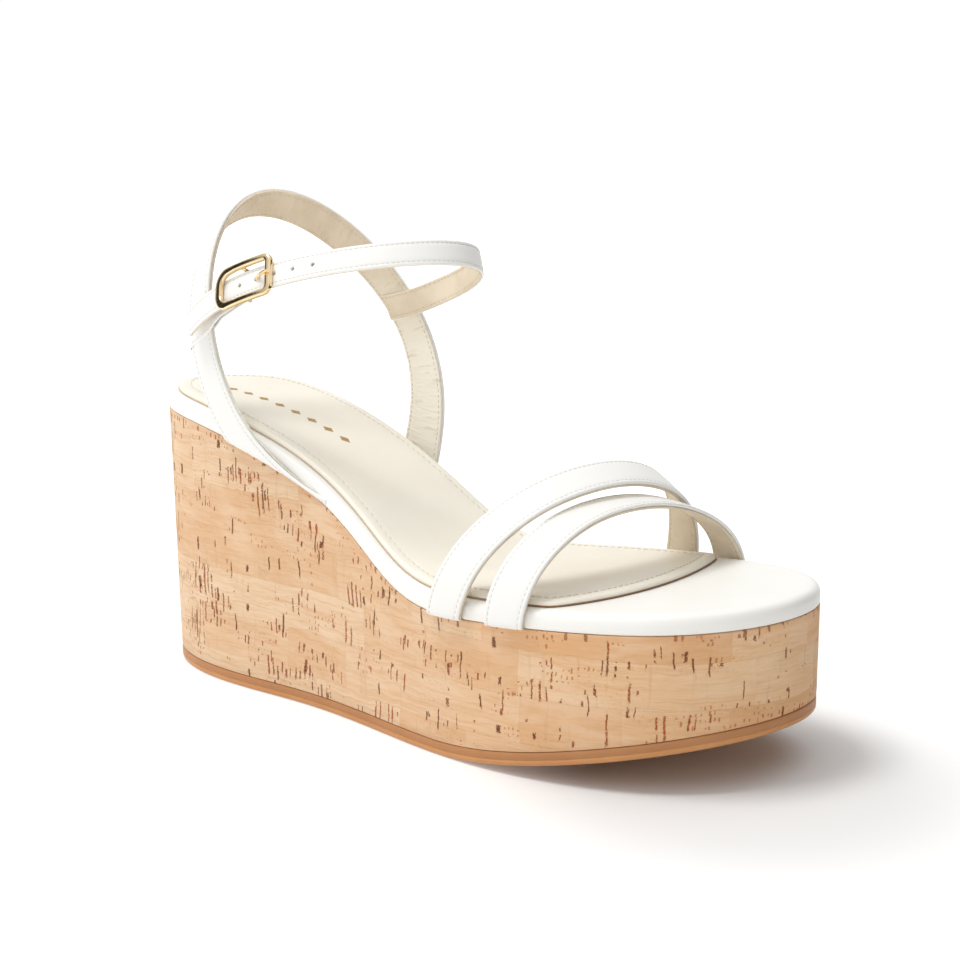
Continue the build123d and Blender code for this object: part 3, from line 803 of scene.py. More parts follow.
def backdrop():
    """White paper that glows as painted light, lightening to pure white away from the sandal; the glow is
    held back near the toe, which paints a shadow there.
    """
    s = Shade("backdrop")
    place = s.place()
    soft = s.noise(place, 0.002, 2.0, 0.5)
    base = s.mix(s.band(soft, 0.3, 0.7), (0.79, 0.79, 0.79), (0.80, 0.80, 0.80))
    from_toe = s.shift(place, (-112.0, 8.0, 0.0))
    distance = s.node("VectorMath", 1, i0=from_toe, settings={"operation": "LENGTH"})
    # painted light and shadow: emission is zero within 40 mm of the point under the toe, rises to 0.22 by 95
    # mm, and adds 0.25 more from 150 to 450 mm
    glow = s.plus(s.band(distance, 40.0, 95.0, 0.0, 0.22), s.band(distance, 150.0, 450.0, 0.0, 0.25))
    s.tree.links.new(glow, s.bsdf.inputs["Emission Strength"])
    return s.finish(base, 0.9, None, Specular_IOR_Level=0.0, Emission_Color=(1, 1, 1, 1))


# ---- Sole unit --------------------------------------------------------------------------------


def make_outsole(material):
    """Rubber sole: a rounded lower edge, a fine step between its two bands, and a groove under the cork."""
    profile = [(7.0, 0.0), (2.2, 0.0), (0.9, 0.05), (0.35, 0.3), (0.05, 0.8), (0.0, 1.4), (0.02, 1.85),
               (0.12, 1.95), (0.10, 2.05), (0.0, 2.15), (0.0, 3.8), (0.06, 4.2), (0.28, 4.42), (0.9, 4.48),
               (7.0, 4.48)]
    rings, flow = [], []

    def add(plan, level):
        z = tread(plan[:, 0]) + level
        rings.append(np.column_stack([plan, z]))
        flow.append(np.column_stack([PLACES, z, np.full(len(z), level)]))

    floor_lean = lean_at(2.0)
    for share in (0.97, 0.75, 0.5, 0.25):
        add(toward_spine(outline(7.0, floor_lean), share), 0.0)
    for inset, level in profile:
        add(outline(inset, floor_lean), level)
    for share in (0.25, 0.5, 0.75, 0.97):
        add(toward_spine(outline(7.0, floor_lean), share), 4.48)
    points, faces = stacked(rings)
    piece = build("outsole_rubber", points, faces, material, np.concatenate(flow))
    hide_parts("outsole")
    return piece


def make_cork(material):
    """The cork skin of one side, from the outsole up to the platform, with softly broken edges."""
    fractions = np.linspace(0, 1, 15)
    split = int(np.argmax(BASE[:, 0]))
    order = list(range(len(BASE))) + [0]
    halves = {
        "cork_wrap_outer_side": (order[: split + 1], -1),
        "cork_wrap_inner_side": (order[split:], 1),
    }
    for node, (picked, side) in halves.items():
        rings, flow = [], []

        def add(inset, low_part, offset):
            bottom = tread(BASE[:, 0]) + OUTSOLE_THICK + 0.06
            top = cork_top(BASE[:, 0])
            z = bottom + (top - bottom) * low_part + offset
            rings.append(np.column_stack([outline(inset, lean_at(z)), z])[picked])
            flow.append(np.column_stack([PLACES, z, top - z])[picked])

        add(1.15, 0, 0.0)
        add(0.28, 0, 0.02)
        add(0.06, 0, 0.22)
        for part in fractions[1:-1]:
            add(0.0, part, 0.0)
        add(0.0, 1, -0.55)
        add(0.05, 1, -0.2)
        add(0.3, 1, -0.03)
        add(1.15, 1, 0.0)
        if picked[-1] == 0:
            total = PLACES[1] - PLACES[0] + PLACES[-1]
            for ring in flow:
                ring[-1, 0] = total
        count = len(picked)
        points = np.concatenate(rings)
        faces = ring_faces(len(rings), count, closed=False)
        back = (len(rings) - 1) * count
        faces += [(i + 1, i, back + i, back + i + 1) for i in range(count - 1)]
        piece = build(node.replace("wrap", "veneer"), points, faces, material, np.concatenate(flow))
        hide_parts(node)
        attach(piece, "sandal")


def make_rim(material):
    """Leather over the platform: an upright side that curls under at the cork and rolls over at the top."""
    profile = [(3.0, 0.08), (1.1, 0.06), (0.55, 0.10), (0.22, 0.30), (0.06, 0.65), (0.0, 1.1), (0.0, 2.2),
               (0.02, 3.1), (0.14, 3.9), (0.42, 4.65), (0.85, 5.25), (1.45, 5.7), (2.2, 5.95), (3.2, 6.03),
               (5.0, 6.03), (8.0, 6.0)]
    rings = []
    plan_ripple = 0.035 * np.sin(PLACES * 0.31) + 0.03 * np.sin(PLACES * 0.173 + 1.3)

    def add(plan, level):
        rings.append(np.column_stack([plan, cork_top(plan[:, 0]) + level]))

    for share in (0.97, 0.6, 0.2):
        add(toward_spine(outline(3.0), share), 0.08)
    for inset, level in profile:
        add(BASE + INWARD * (0.05 + inset + plan_ripple * (0.6 < level < 5.5))[:, None], level)
    for share in (0.15, 0.35, 0.6, 0.8, 0.97):
        add(toward_spine(outline(8.0), share), 6.0)
    points, faces = stacked(rings)
    piece = build("platform_cover", points, faces, material)
    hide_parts("rim_cover")
    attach(piece, "sandal")


def footbed_plan(inset, set_back):
    """Outline of the footbed seen from above, with softened corners, and its inward directions."""
    edge = outline(inset)
    front = bezier([(x - set_back, y, 0) for x, y in FOOTBED_FRONT], np.linspace(0, 1, 400))[:, :2]
    limit = np.interp(edge[:, 1], front[:, 1], front[:, 0])
    keep = edge[:, 0] < limit
    first_out = int(np.argmin(keep))
    last_out = len(keep) - int(np.argmin(keep[::-1]))
    outer, inner = edge[:first_out], edge[last_out:]
    inside = (front[:, 1] > outer[-1, 1]) & (front[:, 1] < inner[0, 1])
    contour = np.concatenate([outer, front[inside], inner])
    closed = np.concatenate([contour, contour[:1]])
    length = running_length(closed)
    even = np.linspace(0, length[-1], 520, endpoint=False)
    contour = np.stack([np.interp(even, length, closed[:, k]) for k in (0, 1)], 1)
    return soften(contour, 2.2, length[-1] / 520)


def soften(contour, width, step):
    """Rounds the corners of a closed line of even points."""
    reach = int(4 * width / step) + 1
    offsets = np.arange(-reach, reach + 1)
    weights = np.exp(-0.5 * (offsets * step / width) ** 2)
    weights /= weights.sum()
    return sum(w * np.roll(contour, -o, axis=0) for o, w in zip(offsets, weights))


def inward_of(contour):
    ahead = unit(np.roll(contour, -2, 0) - np.roll(contour, 2, 0))
    return np.stack([-ahead[:, 1], ahead[:, 0]], 1)


def edge_distance(plan, contour):
    return np.sqrt(((plan[:, None] - contour[None]) ** 2).sum(2)).min(1)


def footbed_height(plan, contour, drop=0.0):
    """Height of the footbed above the cork line: a flat margin, a sewn line, then a shallow cup."""
    distance = edge_distance(plan, contour)
    cup_depth = np.interp(plan[:, 0], [-110, -40, 30, 85], [0.6, 0.4, 0.5, 0.4])
    cup = np.clip((distance - 5.0) / 14.0, 0, 1)
    cup = cup * cup * (3 - 2 * cup)
    groove = 0.18 * np.exp(-(((distance - 4.1) / 0.5) ** 2))
    return FOOTBED_TOP + 0.03 - drop - cup * cup_depth - groove


def footbed_rings(contour, wall, drop=0.0):
    inward = inward_of(contour)
    rings = []
    for inset, level in wall:
        plan = contour + inward * inset
        rings.append(np.column_stack([plan, cork_top(plan[:, 0]) + level]))
    inner = contour + inward * 2.4
    spine_x = np.clip(inner[:, 0], HEEL_X + 30, 55)
    target = np.stack([spine_x, spine_y(spine_x)], 1)
    reach = np.linalg.norm(target - inner, axis=1)
    distances = [0, 0.6, 1.1, 1.5, 1.9, 2.4, 3.2, 4.5, 6.5, 9, 12, 15]
    for distance in distances:
        plan = inner + (target - inner) * np.minimum(distance / reach, 0.9)[:, None]
        rings.append(np.column_stack([plan, cork_top(plan[:, 0]) + footbed_height(plan, contour, drop)]))
    plan = inner + (target - inner) * 0.97
    rings.append(np.column_stack([plan, cork_top(plan[:, 0]) + footbed_height(plan, contour, drop)]))
    return rings


def footbed_form(contour, wall, drop=0.0):
    """Points and faces of a closed pad: its underside, its wall and its shaped top."""
    rings = footbed_rings(contour, wall, drop)
    under = rings[0][:, :2]
    spine_x = np.clip(under[:, 0], HEEL_X + 30, 55)
    target = np.stack([spine_x, spine_y(spine_x)], 1)
    lower = []
    for share in (0.97, 0.6, 0.3):
        plan = under + (target - under) * share
        lower.append(np.column_stack([plan, cork_top(plan[:, 0]) + wall[0][1]]))
    return stacked(lower + rings)


def make_footbed(top_material, foam_material, edge_material):
    """The soft footbed: a leather sock over a thin pad, with a lower edge line that is raw edge at the sides
    and painted shade in front.
    """
    contour = footbed_plan(FOOTBED_INSET, 0.0)
    wall = [(6.0, 6.06), (0.35, 6.06), (0.05, 6.10), (0.0, 6.25), (0.0, 6.6), (0.06, 6.95), (0.22, 7.3),
            (0.5, 7.62), (0.9, 7.86), (1.5, 8.0), (2.0, 8.03)]
    points, faces = footbed_form(contour, wall)
    sock = build("footbed_leather", points, faces, top_material)
    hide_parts("footbed_sock")
    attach(sock, "sandal")

    pad_contour = footbed_plan(FOOTBED_INSET + 1.2, 1.2)
    pad_wall = [(6.0, 6.2), (0.2, 6.2), (0.0, 6.3), (0.0, 6.45), (0.5, 6.75), (1.5, 6.9), (2.0, 6.93)]
    points, faces = footbed_form(pad_contour, pad_wall, drop=1.1)
    pad = build("footbed_pad", points, faces, foam_material)
    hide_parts("footbed_foam")
    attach(pad, "sandal")

    # edge line at the foot of the footbed's wall: pale raw edge at the sides and heel, brown painted shade at
    # the front
    rim = surface_line(contour - inward_of(contour) * 0.02, 6.34, 0.30, 8)
    edge = build("footbed_edge_line", rim[0], rim[1], edge_material)
    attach(edge, "sandal")
    return contour


def surface_line(plan, level, radius, corners):
    """Thin closed cord that follows a plan line at a height above the cork's top line."""
    middle = np.column_stack([plan, cork_top(plan[:, 0]) + level])
    ahead = unit(np.roll(middle, -1, 0) - np.roll(middle, 1, 0))
    across = unit(np.cross(ahead, [0, 0, 1.0]))
    upward = np.cross(across, ahead)
    rings = []
    for corner in range(corners):
        turn = 2 * math.pi * corner / corners
        rings.append(middle + across * math.cos(turn) * radius + upward * math.sin(turn) * radius)
    count = len(plan)
    points = np.concatenate(rings)
    return points, ring_faces(corners, count) + closing_faces(corners, count)


class PlanPath:
    """A line over the footbed, with the same calls as a strap strip, so that stitches can follow it."""

    def __init__(self, contour, inset):
        line = contour + inward_of(contour) * inset
        line = soften(line, 2.0, 1.15)
        line = np.concatenate([line, line[:1]])
        length = running_length(line)
        self.distance = length
        self.line = line
        self.contour = contour

    def at(self, distance, side, inset, height):
        distance = np.mod(distance, self.distance[-1])
        plan = np.stack([np.interp(distance, self.distance, self.line[:, k]) for k in (0, 1)], 1)
        z = cork_top(plan[:, 0]) + footbed_height(plan, self.contour)
        slope = (cork_top(plan[:, 0] + 0.5) - cork_top(plan[:, 0] - 0.5))
        normal = unit(np.column_stack([-slope, np.zeros(len(slope)), np.ones(len(slope))]))
        return np.column_stack([plan, z]) + normal * height


def make_foil(contour, material):
    """A row of plain gold foil lozenges on the heel of the footbed."""
    points, faces = [], []
    count = 9
    for number in range(count):
        share = number / (count - 1)
        centre = np.array([-101.0 + 58.0 * share, 3.0 - 1.0 * share])
        ahead = np.array([0.99, -0.02])
        aside = np.array([0.02, 0.99])
        first = len(points)
        for lift in (0.06, -0.1):
            for along, across in ((2.3, 0), (0, 1.7), (-2.3, 0), (0, -1.7)):
                plan = centre + ahead * along + aside * across
                z = cork_top(plan[:1])[0] + footbed_height(plan[None], contour)[0]
                points.append((plan[0], plan[1], z + lift))
        faces += [(first, first + 1, first + 2, first + 3), (first + 7, first + 6, first + 5, first + 4)]
        faces += [(first + k, first + (k + 1) % 4, first + 4 + (k + 1) % 4, first + 4 + k) for k in range(4)]
    piece = build("footbed_foil", points, faces, material)
    piece.data.shade_flat()
    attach(piece, "sandal")


# ---- Straps -----------------------------------------------------------------------------------


def slow_wave(distance, size, seed):
    random = np.random.RandomState(seed)
    total = np.zeros(len(distance))
    for _ in range(4):
        total += np.sin(distance * random.uniform(0.05, 0.22) + random.uniform(0, 6.3))
    return total * size / 4


def make_fixed_strap(name, route, seed, materials, tuck=1.6, run=0.03, lift=0.0):
    outer_material, lining_material, thread_material, lining_thread = materials
    strip = Strip(route, -run, 1 + run)
    strip.half = strip.half + slow_wave(strip.distance, 0.08, seed)
    wave = slow_wave(strip.distance, 0.10, seed + 50)
    points, faces, flow = swept(strip, leather_section(-0.08, 1.05), wave)
    outer = build(name + "_leather", tuck_under(points, tuck), faces, outer_material, flow)
    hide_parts(name + "_outer")
    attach(outer, "sandal")
    points, faces, flow = swept(strip, lining_section(-1.02, -0.13), wave)
    inner = build(name + "_inside", tuck_under(points, tuck), faces, lining_material, flow)
    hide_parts(name + "_lining")
    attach(inner, "sandal")
    strip.middle = strip.middle + strip.normal * wave[:, None]
    rows = [stitch_row(strip, side, 1.35, 0.98, 1.75, 1.35, 0.14, seed=seed + side) for side in (-1, 1)]
    points, faces = join_parts(rows)
    sewn = build(name + "_stitches", tuck_under(points, tuck), faces, thread_material)
    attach(sewn, "sandal")
    rows = [stitch_row(strip, side, 1.35, -0.98, 1.75, 1.2, 0.12, sink=-0.1, seed=seed + side + 7)
            for side in (-1, 1)]
    points, faces = join_parts(rows)
    sewn = build(name + "_inside_stitches", tuck_under(points, tuck), faces, lining_thread)
    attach(sewn, "sandal")


def cut_holes(piece, centres, directions, radius, depth):
    """Cuts round holes through a piece."""
    cutter = bmesh.new()
    for centre, direction in zip(centres, directions):
        turn = Vector(direction).to_track_quat("Z", "Y").to_matrix().to_4x4()
        turn.translation = Vector(centre) * MM
        bmesh.ops.create_cone(cutter, cap_ends=True, segments=20, radius1=radius * MM, radius2=radius * MM,
                              depth=depth * MM, matrix=turn)
    mesh = bpy.data.meshes.new("hole_cutter")
    cutter.to_mesh(mesh)
    cutter.free()
    tool = bpy.data.objects.new("hole_cutter", mesh)
    bpy.context.scene.collection.objects.link(tool)
    cut = piece.modifiers.new("holes", "BOOLEAN")
    cut.operation = "DIFFERENCE"
    cut.solver = "EXACT"
    cut.object = tool
    bpy.context.view_layer.update()
    evaluated = piece.evaluated_get(bpy.context.evaluated_depsgraph_get())
    fresh = bpy.data.meshes.new_from_object(evaluated, preserve_all_data_layers=True,
                                            depsgraph=bpy.context.evaluated_depsgraph_get())
    piece.modifiers.clear()
    old = piece.data
    piece.data = fresh
    bpy.data.meshes.remove(old)
    bpy.data.objects.remove(tool)


def lay_on_loop(points, strip, seam_distance):
    """Lays the fixed end of the ankle strap flat against the inside of the heel loop."""
    loop = Strip(HEEL_LOOP, LOOP_SEAM - 0.01, LOOP_SEAM + 0.01)
    station = len(loop.distance) // 2
    spot, outward = loop.middle[station], loop.normal[station]
    points = np.array(points, float)
    nearest = ((points[:, None] - strip.middle[None]) ** 2).sum(2).argmin(1)
    height = ((points - strip.middle[nearest]) * strip.normal[nearest]).sum(1)
    share = np.clip((seam_distance + 13.0 - strip.distance[nearest]) / 12.0, 0, 1)
    share = share * share * (3 - 2 * share)
    off = (points - spot) @ outward
    return points + outward * ((height - 1.75 - off) * share)[:, None]


def make_ankle_strap(materials, tape_material):
    """Ankle strap, from its sewn end inside the heel loop round to the free tip behind the buckle."""
    outer_material, lining_material, thread_material, lining_thread = materials
    strip = Strip(ANKLE_STRAP, FIXED_END_SHARE, 0.9995, step=0.6)
    seam_distance = float(np.interp(SEAM_SHARE, strip.shares, strip.distance))
    buckle_distance = float(np.interp(BUCKLE_SHARE, strip.shares, strip.distance))
    calm = np.clip((buckle_distance - 20 - strip.distance) / 20, 0, 1)
    strip.half = strip.half + slow_wave(strip.distance, 0.05, 31) * calm
    holes = np.array([buckle_distance - 5.0 - HOLE_PITCH * number for number in (-1, 0, 1, 2, 3)])
    centres = strip.at(holes, 0, 0, 0)
    outward = unit(strip.at(holes, 0, 0, 1.0) - centres)
    seam = strip.at(np.array([seam_distance]), 0, 0, 0)[0]

    def add(name, parts, material, slot, cut=False):
        points, faces, *flow = parts
        laid = lay_on_loop(points, strip, seam_distance)
        piece = build(name, laid, faces, material, flow[0] if flow else None)
        if cut:
            cut_holes(piece, centres, outward, HOLE_RADIUS, 6)
        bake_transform(piece)
        return piece

    outer = add("ankle_strap_leather", swept(strip, leather_section(-0.06, 0.80, groove=1.15, crown=0.06)),
                outer_material, "strap_leather", cut=True)
    inner = add("ankle_strap_inside", swept(strip, lining_section(-0.80, -0.10, inset=0.18)),
                lining_material, "lining_leather", cut=True)
    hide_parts("ankle_strap_outer", "strap_tip")
    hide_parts("ankle_strap_lining")
    tape_section = [(1, 1.6, -0.35), (1, 1.6, 0.15), (-1, 1.6, 0.15), (-1, 1.6, -0.35)]
    tape = add("ankle_strap_tape_band", swept(strip, tape_section), tape_material, "tape", cut=True)
    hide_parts("ankle_strap_tape")
    rows = [stitch_row(strip, side, 1.15, 0.75, 1.6, 1.25, 0.12, seed=60 + side) for side in (-1, 1)]
    free_end = row_across(strip, strip.distance[-1] - 1.3, 0.9)
    rows.append(stitch_row(free_end, 0, 0, 0.75, 1.6, 1.25, 0.12, seed=71))
    add("ankle_strap_stitches", join_parts(rows), thread_material, "strap_leather")
    rows = [stitch_row(strip, side, 1.15, -0.79, 1.6, 1.15, 0.13, sink=-0.1, seed=80 + side)
            for side in (-1, 1)]
    rows.append(stitch_row(row_across(strip, 1.2, 0.9), 0, 0, -0.79, 1.6, 1.15, 0.13, sink=-0.1, seed=90))
    add("ankle_strap_inside_stitches", join_parts(rows), lining_thread, "lining_leather")


class StraightRow:
    """A short straight sewn row between two points."""

    def __init__(self, start, finish, normal):
        self.start, self.finish, self.normal = np.array(start), np.array(finish), np.array(normal)
        self.distance = np.array([0, np.linalg.norm(self.finish - self.start)])

    def at(self, distance, side, inset, height):
        share = (np.asarray(distance) / self.distance[-1])[:, None]
        return self.start + (self.finish - self.start) * share + self.normal * height


def row_across(strip, distance, inset):
    """Sewn row from edge to edge of a strip, at a distance along it."""
    place = np.array([distance])
    start, finish = (strip.at(place, side, inset, 0.0)[0] for side in (-1, 1))
    normal = unit(strip.at(place, 0, 0, 1.0) - strip.at(place, 0, 0, 0.0))[0]
    return StraightRow(start, finish, normal)


def make_seam(material):
    """Two sewn rows on the outside of the heel loop, which hold the fixed end of the ankle strap."""
    strip = Strip(HEEL_LOOP, LOOP_SEAM - 0.025, LOOP_SEAM + 0.025)
    rows = []
    for share in (0.1, 0.9):
        row = row_across(strip, strip.distance[-1] * share, 1.6)
        rows.append(stitch_row(row, 0, 0, 1.12, 1.5, 1.15, 0.13, seed=92))
    points, faces = join_parts(rows)
    piece = build("ankle_strap_seam", points, faces, material)
    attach(piece, "sandal")


# ---- Buckle -----------------------------------------------------------------------------------


class BuckleFrame:
    """Local frame of the buckle: X forward along the strap, Y up across it, Z outward."""

    def __init__(self):
        line, across = ANKLE_STRAP
        share = np.array([BUCKLE_SHARE])
        self.origin = bezier(line, share)[0]
        along = unit(bezier(line, share + 0.002) - bezier(line, share - 0.002))[0]
        width = bezier(across, share)[0]
        self.z = unit(np.cross(width, along))
        self.x = -along
        self.y = np.cross(self.z, self.x)

    def place(self, points):
        points = np.asarray(points, float)
        return self.origin + points[:, :1] * self.x + points[:, 1:2] * self.y + points[:, 2:] * self.z


def bowed(points):
    """Bends points, whose Z is the offset from the strap's middle surface, round the buckle's bow."""
    points = np.array(points, float)
    points[:, 2] += np.sqrt(BUCKLE_BOW**2 - points[:, 0] ** 2) - BUCKLE_BOW
    return points


def rounded_loop(length, height, front, rear, steps=14):
    """Closed line of a rectangle with one corner radius in front and another behind."""
    line = []
    for cx, cy, radius, start in (
        (length / 2 - front, height / 2 - front, front, 0), (-length / 2 + rear, height / 2 - rear, rear, 90),
        (-length / 2 + rear, -height / 2 + rear, rear, 180),
        (length / 2 - front, -height / 2 + front, front, 270),
    ):
        for angle in np.radians(np.linspace(start, start + 90, steps)):
            line.append((cx + radius * math.cos(angle), cy + radius * math.sin(angle)))
    line = np.array(line)
    closed = np.concatenate([line, line[:1]])
    distance = running_length(closed)
    even = np.linspace(0, distance[-1], 200, endpoint=False)
    return np.stack([np.interp(even, distance, closed[:, k]) for k in (0, 1)], 1)


def make_buckle(frame, gold_material, tab_material, thread_material):
    wire = BUCKLE_WIRE / 2
    loop = rounded_loop(BUCKLE_LENGTH - 2 * wire, BUCKLE_HEIGHT - 2 * wire, 2.0, 4.6)
    ahead = unit(np.roll(loop, -1, 0) - np.roll(loop, 1, 0))
    outward = np.stack([ahead[:, 1], -ahead[:, 0]], 1)
    middle_z = (FRAME_LOW + FRAME_HIGH) / 2
    half_z = (FRAME_HIGH - FRAME_LOW) / 2
    section = squared_ring(32, wire, half_z, 0.62, 0.55)
    rings = []
    fuller = 1.12 + 0.38 * np.clip((-loop[:, 0] - 3.0) / 6.0, 0, 1)
    for off, z in section:
        plan = loop + outward * (off * fuller)[:, None] - outward * ((fuller - 1.12) * wire * 0.8)[:, None]
        rings.append(np.column_stack([plan, np.full(len(plan), middle_z + z)]))
    count = len(loop)
    points = bowed(np.concatenate(rings))
    faces = ring_faces(len(rings), count) + closing_faces(len(rings), count)
    parts = [(frame.place(points), faces)]
    for side in (-1, 1):
        parts.append(rounded_post(frame, side))
    points, faces = join_parts(parts)
    ring = build("buckle_ring", points, faces, gold_material)
    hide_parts("buckle_frame")
    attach(ring, "buckle")
    bar_end = BUCKLE_HEIGHT / 2 - 2.0
    points, faces = tube([(0, -bar_end, BAR_DEPTH), (0, bar_end, BAR_DEPTH)], BAR_RADIUS, 20)
    bar = build("buckle_rod", frame.place(points), faces, gold_material)
    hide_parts("buckle_bar")
    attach(bar, "buckle")
    side_line = [(0.9, BAR_DEPTH + 0.45), (3.0, BAR_DEPTH + 0.6), (4.7, -0.2), (5.7, 0.9), (7.2, 1.8),
                 (9.6, 2.75), (12.3, 3.0)]
    xs = cubic_through(range(len(side_line)), side_line)(np.linspace(0, len(side_line) - 1, 44))
    radii = np.interp(np.linspace(0, 1, 44), [0, 0.6, 0.93, 1.0], [0.62, 0.60, 0.46, 0.20])
    points, faces = tube([(x, 0, z) for x, z in xs], radii, 18)
    eye = torus_part((0, 0, BAR_DEPTH), BAR_RADIUS + 0.32, 0.27, 0.60)
    points, faces = join_parts([(points, faces), eye])
    prong = build("buckle_tongue", frame.place(np.array(points)), faces, gold_material)
    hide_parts("buckle_prong")
    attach(prong, "prong")
    make_tab(frame, tab_material, thread_material)


def rounded_post(frame, side):
    """Ear that carries the bar, under one long side of the frame."""
    corners = squared_ring(24, 0.60, 0.45, 0.5, 0.5)
    rings = []
    levels = [(BAR_DEPTH - 0.55, 0.55), (BAR_DEPTH - 0.4, 0.85), (BAR_DEPTH - 0.1, 1.0), (0.2, 1.0),
              (FRAME_LOW + 0.5, 1.05)]
    for z, size in levels:
        rings.append([(x * size, side * (BUCKLE_HEIGHT / 2 - 2.15) + y * size, z) for x, y in corners])
    points = [p for ring in rings for p in ring]
    faces = ring_faces(len(rings), 24)
    faces += end_caps(len(rings), 24)
    return frame.place(np.array(points)), faces


def tube(line, radius, corners):
    """Round bar along a line, with rounded ends."""
    line = np.array(line, float)
    radius = np.broadcast_to(radius, len(line)).astype(float)
    ahead = unit(np.gradient(line, axis=0))
    side = np.array([0, 1.0, 0]) if abs(ahead[0][1]) < 0.5 else np.array([1.0, 0, 0])
    rings = []
    first, last = ahead[0] * radius[0], ahead[-1] * radius[-1]
    stations = [(line[0] - first * 0.55, ahead[0], radius[0] * 0.35),
                (line[0] - first * 0.3, ahead[0], radius[0] * 0.8)]
    stations += list(zip(line, ahead, radius))
    stations += [(line[-1] + last * 0.3, ahead[-1], radius[-1] * 0.8),
                 (line[-1] + last * 0.55, ahead[-1], radius[-1] * 0.35)]
    for middle, direction, size in stations:
        up = unit(np.cross(direction, side))
        for corner in range(corners):
            turn = 2 * math.pi * corner / corners
            rings.append(middle + (side * math.cos(turn) + up * math.sin(turn)) * size)
    faces = ring_faces(len(stations), corners)
    faces += end_caps(len(stations), corners)
    return np.array(rings), faces


def torus_part(centre, ring_radius, thick, half_width):
    """Flat eye round the local Y axis."""
    points = []
    around, section = 32, 12
    for i in range(around):
        turn = 2 * math.pi * i / around
        for k in range(section):
            spin = 2 * math.pi * k / section
            c, s = math.cos(spin), math.sin(spin)
            distance = ring_radius + math.copysign(abs(c) ** 0.6, c) * thick
            points.append((centre[0] + distance * math.cos(turn),
                           centre[1] + math.copysign(abs(s) ** 0.6, s) * half_width,
                           centre[2] + distance * math.sin(turn)))
    faces = []
    for i in range(around):
        for k in range(section):
            j, m = (i + 1) % around, (k + 1) % section
            faces.append((i * section + k, j * section + k, j * section + m, i * section + m))
    return points, faces


def make_tab(frame, material, thread_material):
    """Leather tab: it turns round the bar, and lies over the heel loop's outside and round its rear edge."""
    inner = BAR_RADIUS + 0.08
    middle = inner + TAB_THICK / 2
    line = [(-22.3, -7.9), (-15.5, -5.5), (-8.0, BAR_DEPTH - inner - 1.35), (-3.0, BAR_DEPTH - middle - 0.35)]
    for angle in np.radians(np.linspace(-100, 100, 15)):
        line.append((middle * math.cos(angle), BAR_DEPTH + middle * math.sin(angle)))
    outer = [(-1.6, BAR_DEPTH + middle - 0.30), (-3.6, BAR_DEPTH + 0.05), (-8.0, -2.95), (-15.5, -4.2),
             (-20.2, -5.7), (-24.3, -7.5), (-30.3, -9.05), (-36.2, -10.6)]
    line += outer + [(-37.4, -11.2), (-37.9, -12.0), (-37.3, -12.8), (-35.0, -13.0)]

    def on_loop(x, y, z):
        """Turns the tab down a little, and tilts its far part to lie on the heel loop."""
        tilt = 0.28 * float(np.clip((-x - 15.5) / 8.8, 0, 1))
        y = y - 0.085 * max(-x - 2.5, 0.0)
        return x, y, z + tilt * (y + 2.4)

    line = np.array(line)
    ahead = unit(np.gradient(line, axis=0))
    normal = np.stack([-ahead[:, 1], ahead[:, 0]], 1)
    section = squared_ring(20, TAB_HALF_WIDTH, TAB_THICK / 2, 0.25, 0.6)
    points, flow = [], []
    distance = running_length(line)
    for k in range(len(line)):
        for y, off in section:
            spot = line[k] + normal[k] * off
            points.append(on_loop(spot[0], y, spot[1]))
            flow.append((distance[k], y, off))
    faces = ring_faces(len(line), len(section))
    faces += end_caps(len(line), len(section))
    tab = build("buckle_tab_leather", frame.place(np.array(points)), faces, material, flow)
    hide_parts("buckle_tab")
    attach(tab, "sandal")
    rows = []
    for y in (-2.9, 2.9):
        for (near_x, near_z), (far_x, far_z) in zip(outer[1:], outer[2:]):
            start, finish = frame.place([on_loop(near_x, y, near_z), on_loop(far_x, y, far_z)])
            row = StraightRow(start, finish, frame.z)
            rows.append(stitch_row(row, 0, 0, 0.32, 1.5, 1.15, 0.11, seed=int(97 + y)))
    points, faces = join_parts(rows)
    sewn = build("buckle_tab_stitches", points, faces, thread_material)
    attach(sewn, "sandal")


# ---- Set: floor, lights and camera ------------------------------------------------------------


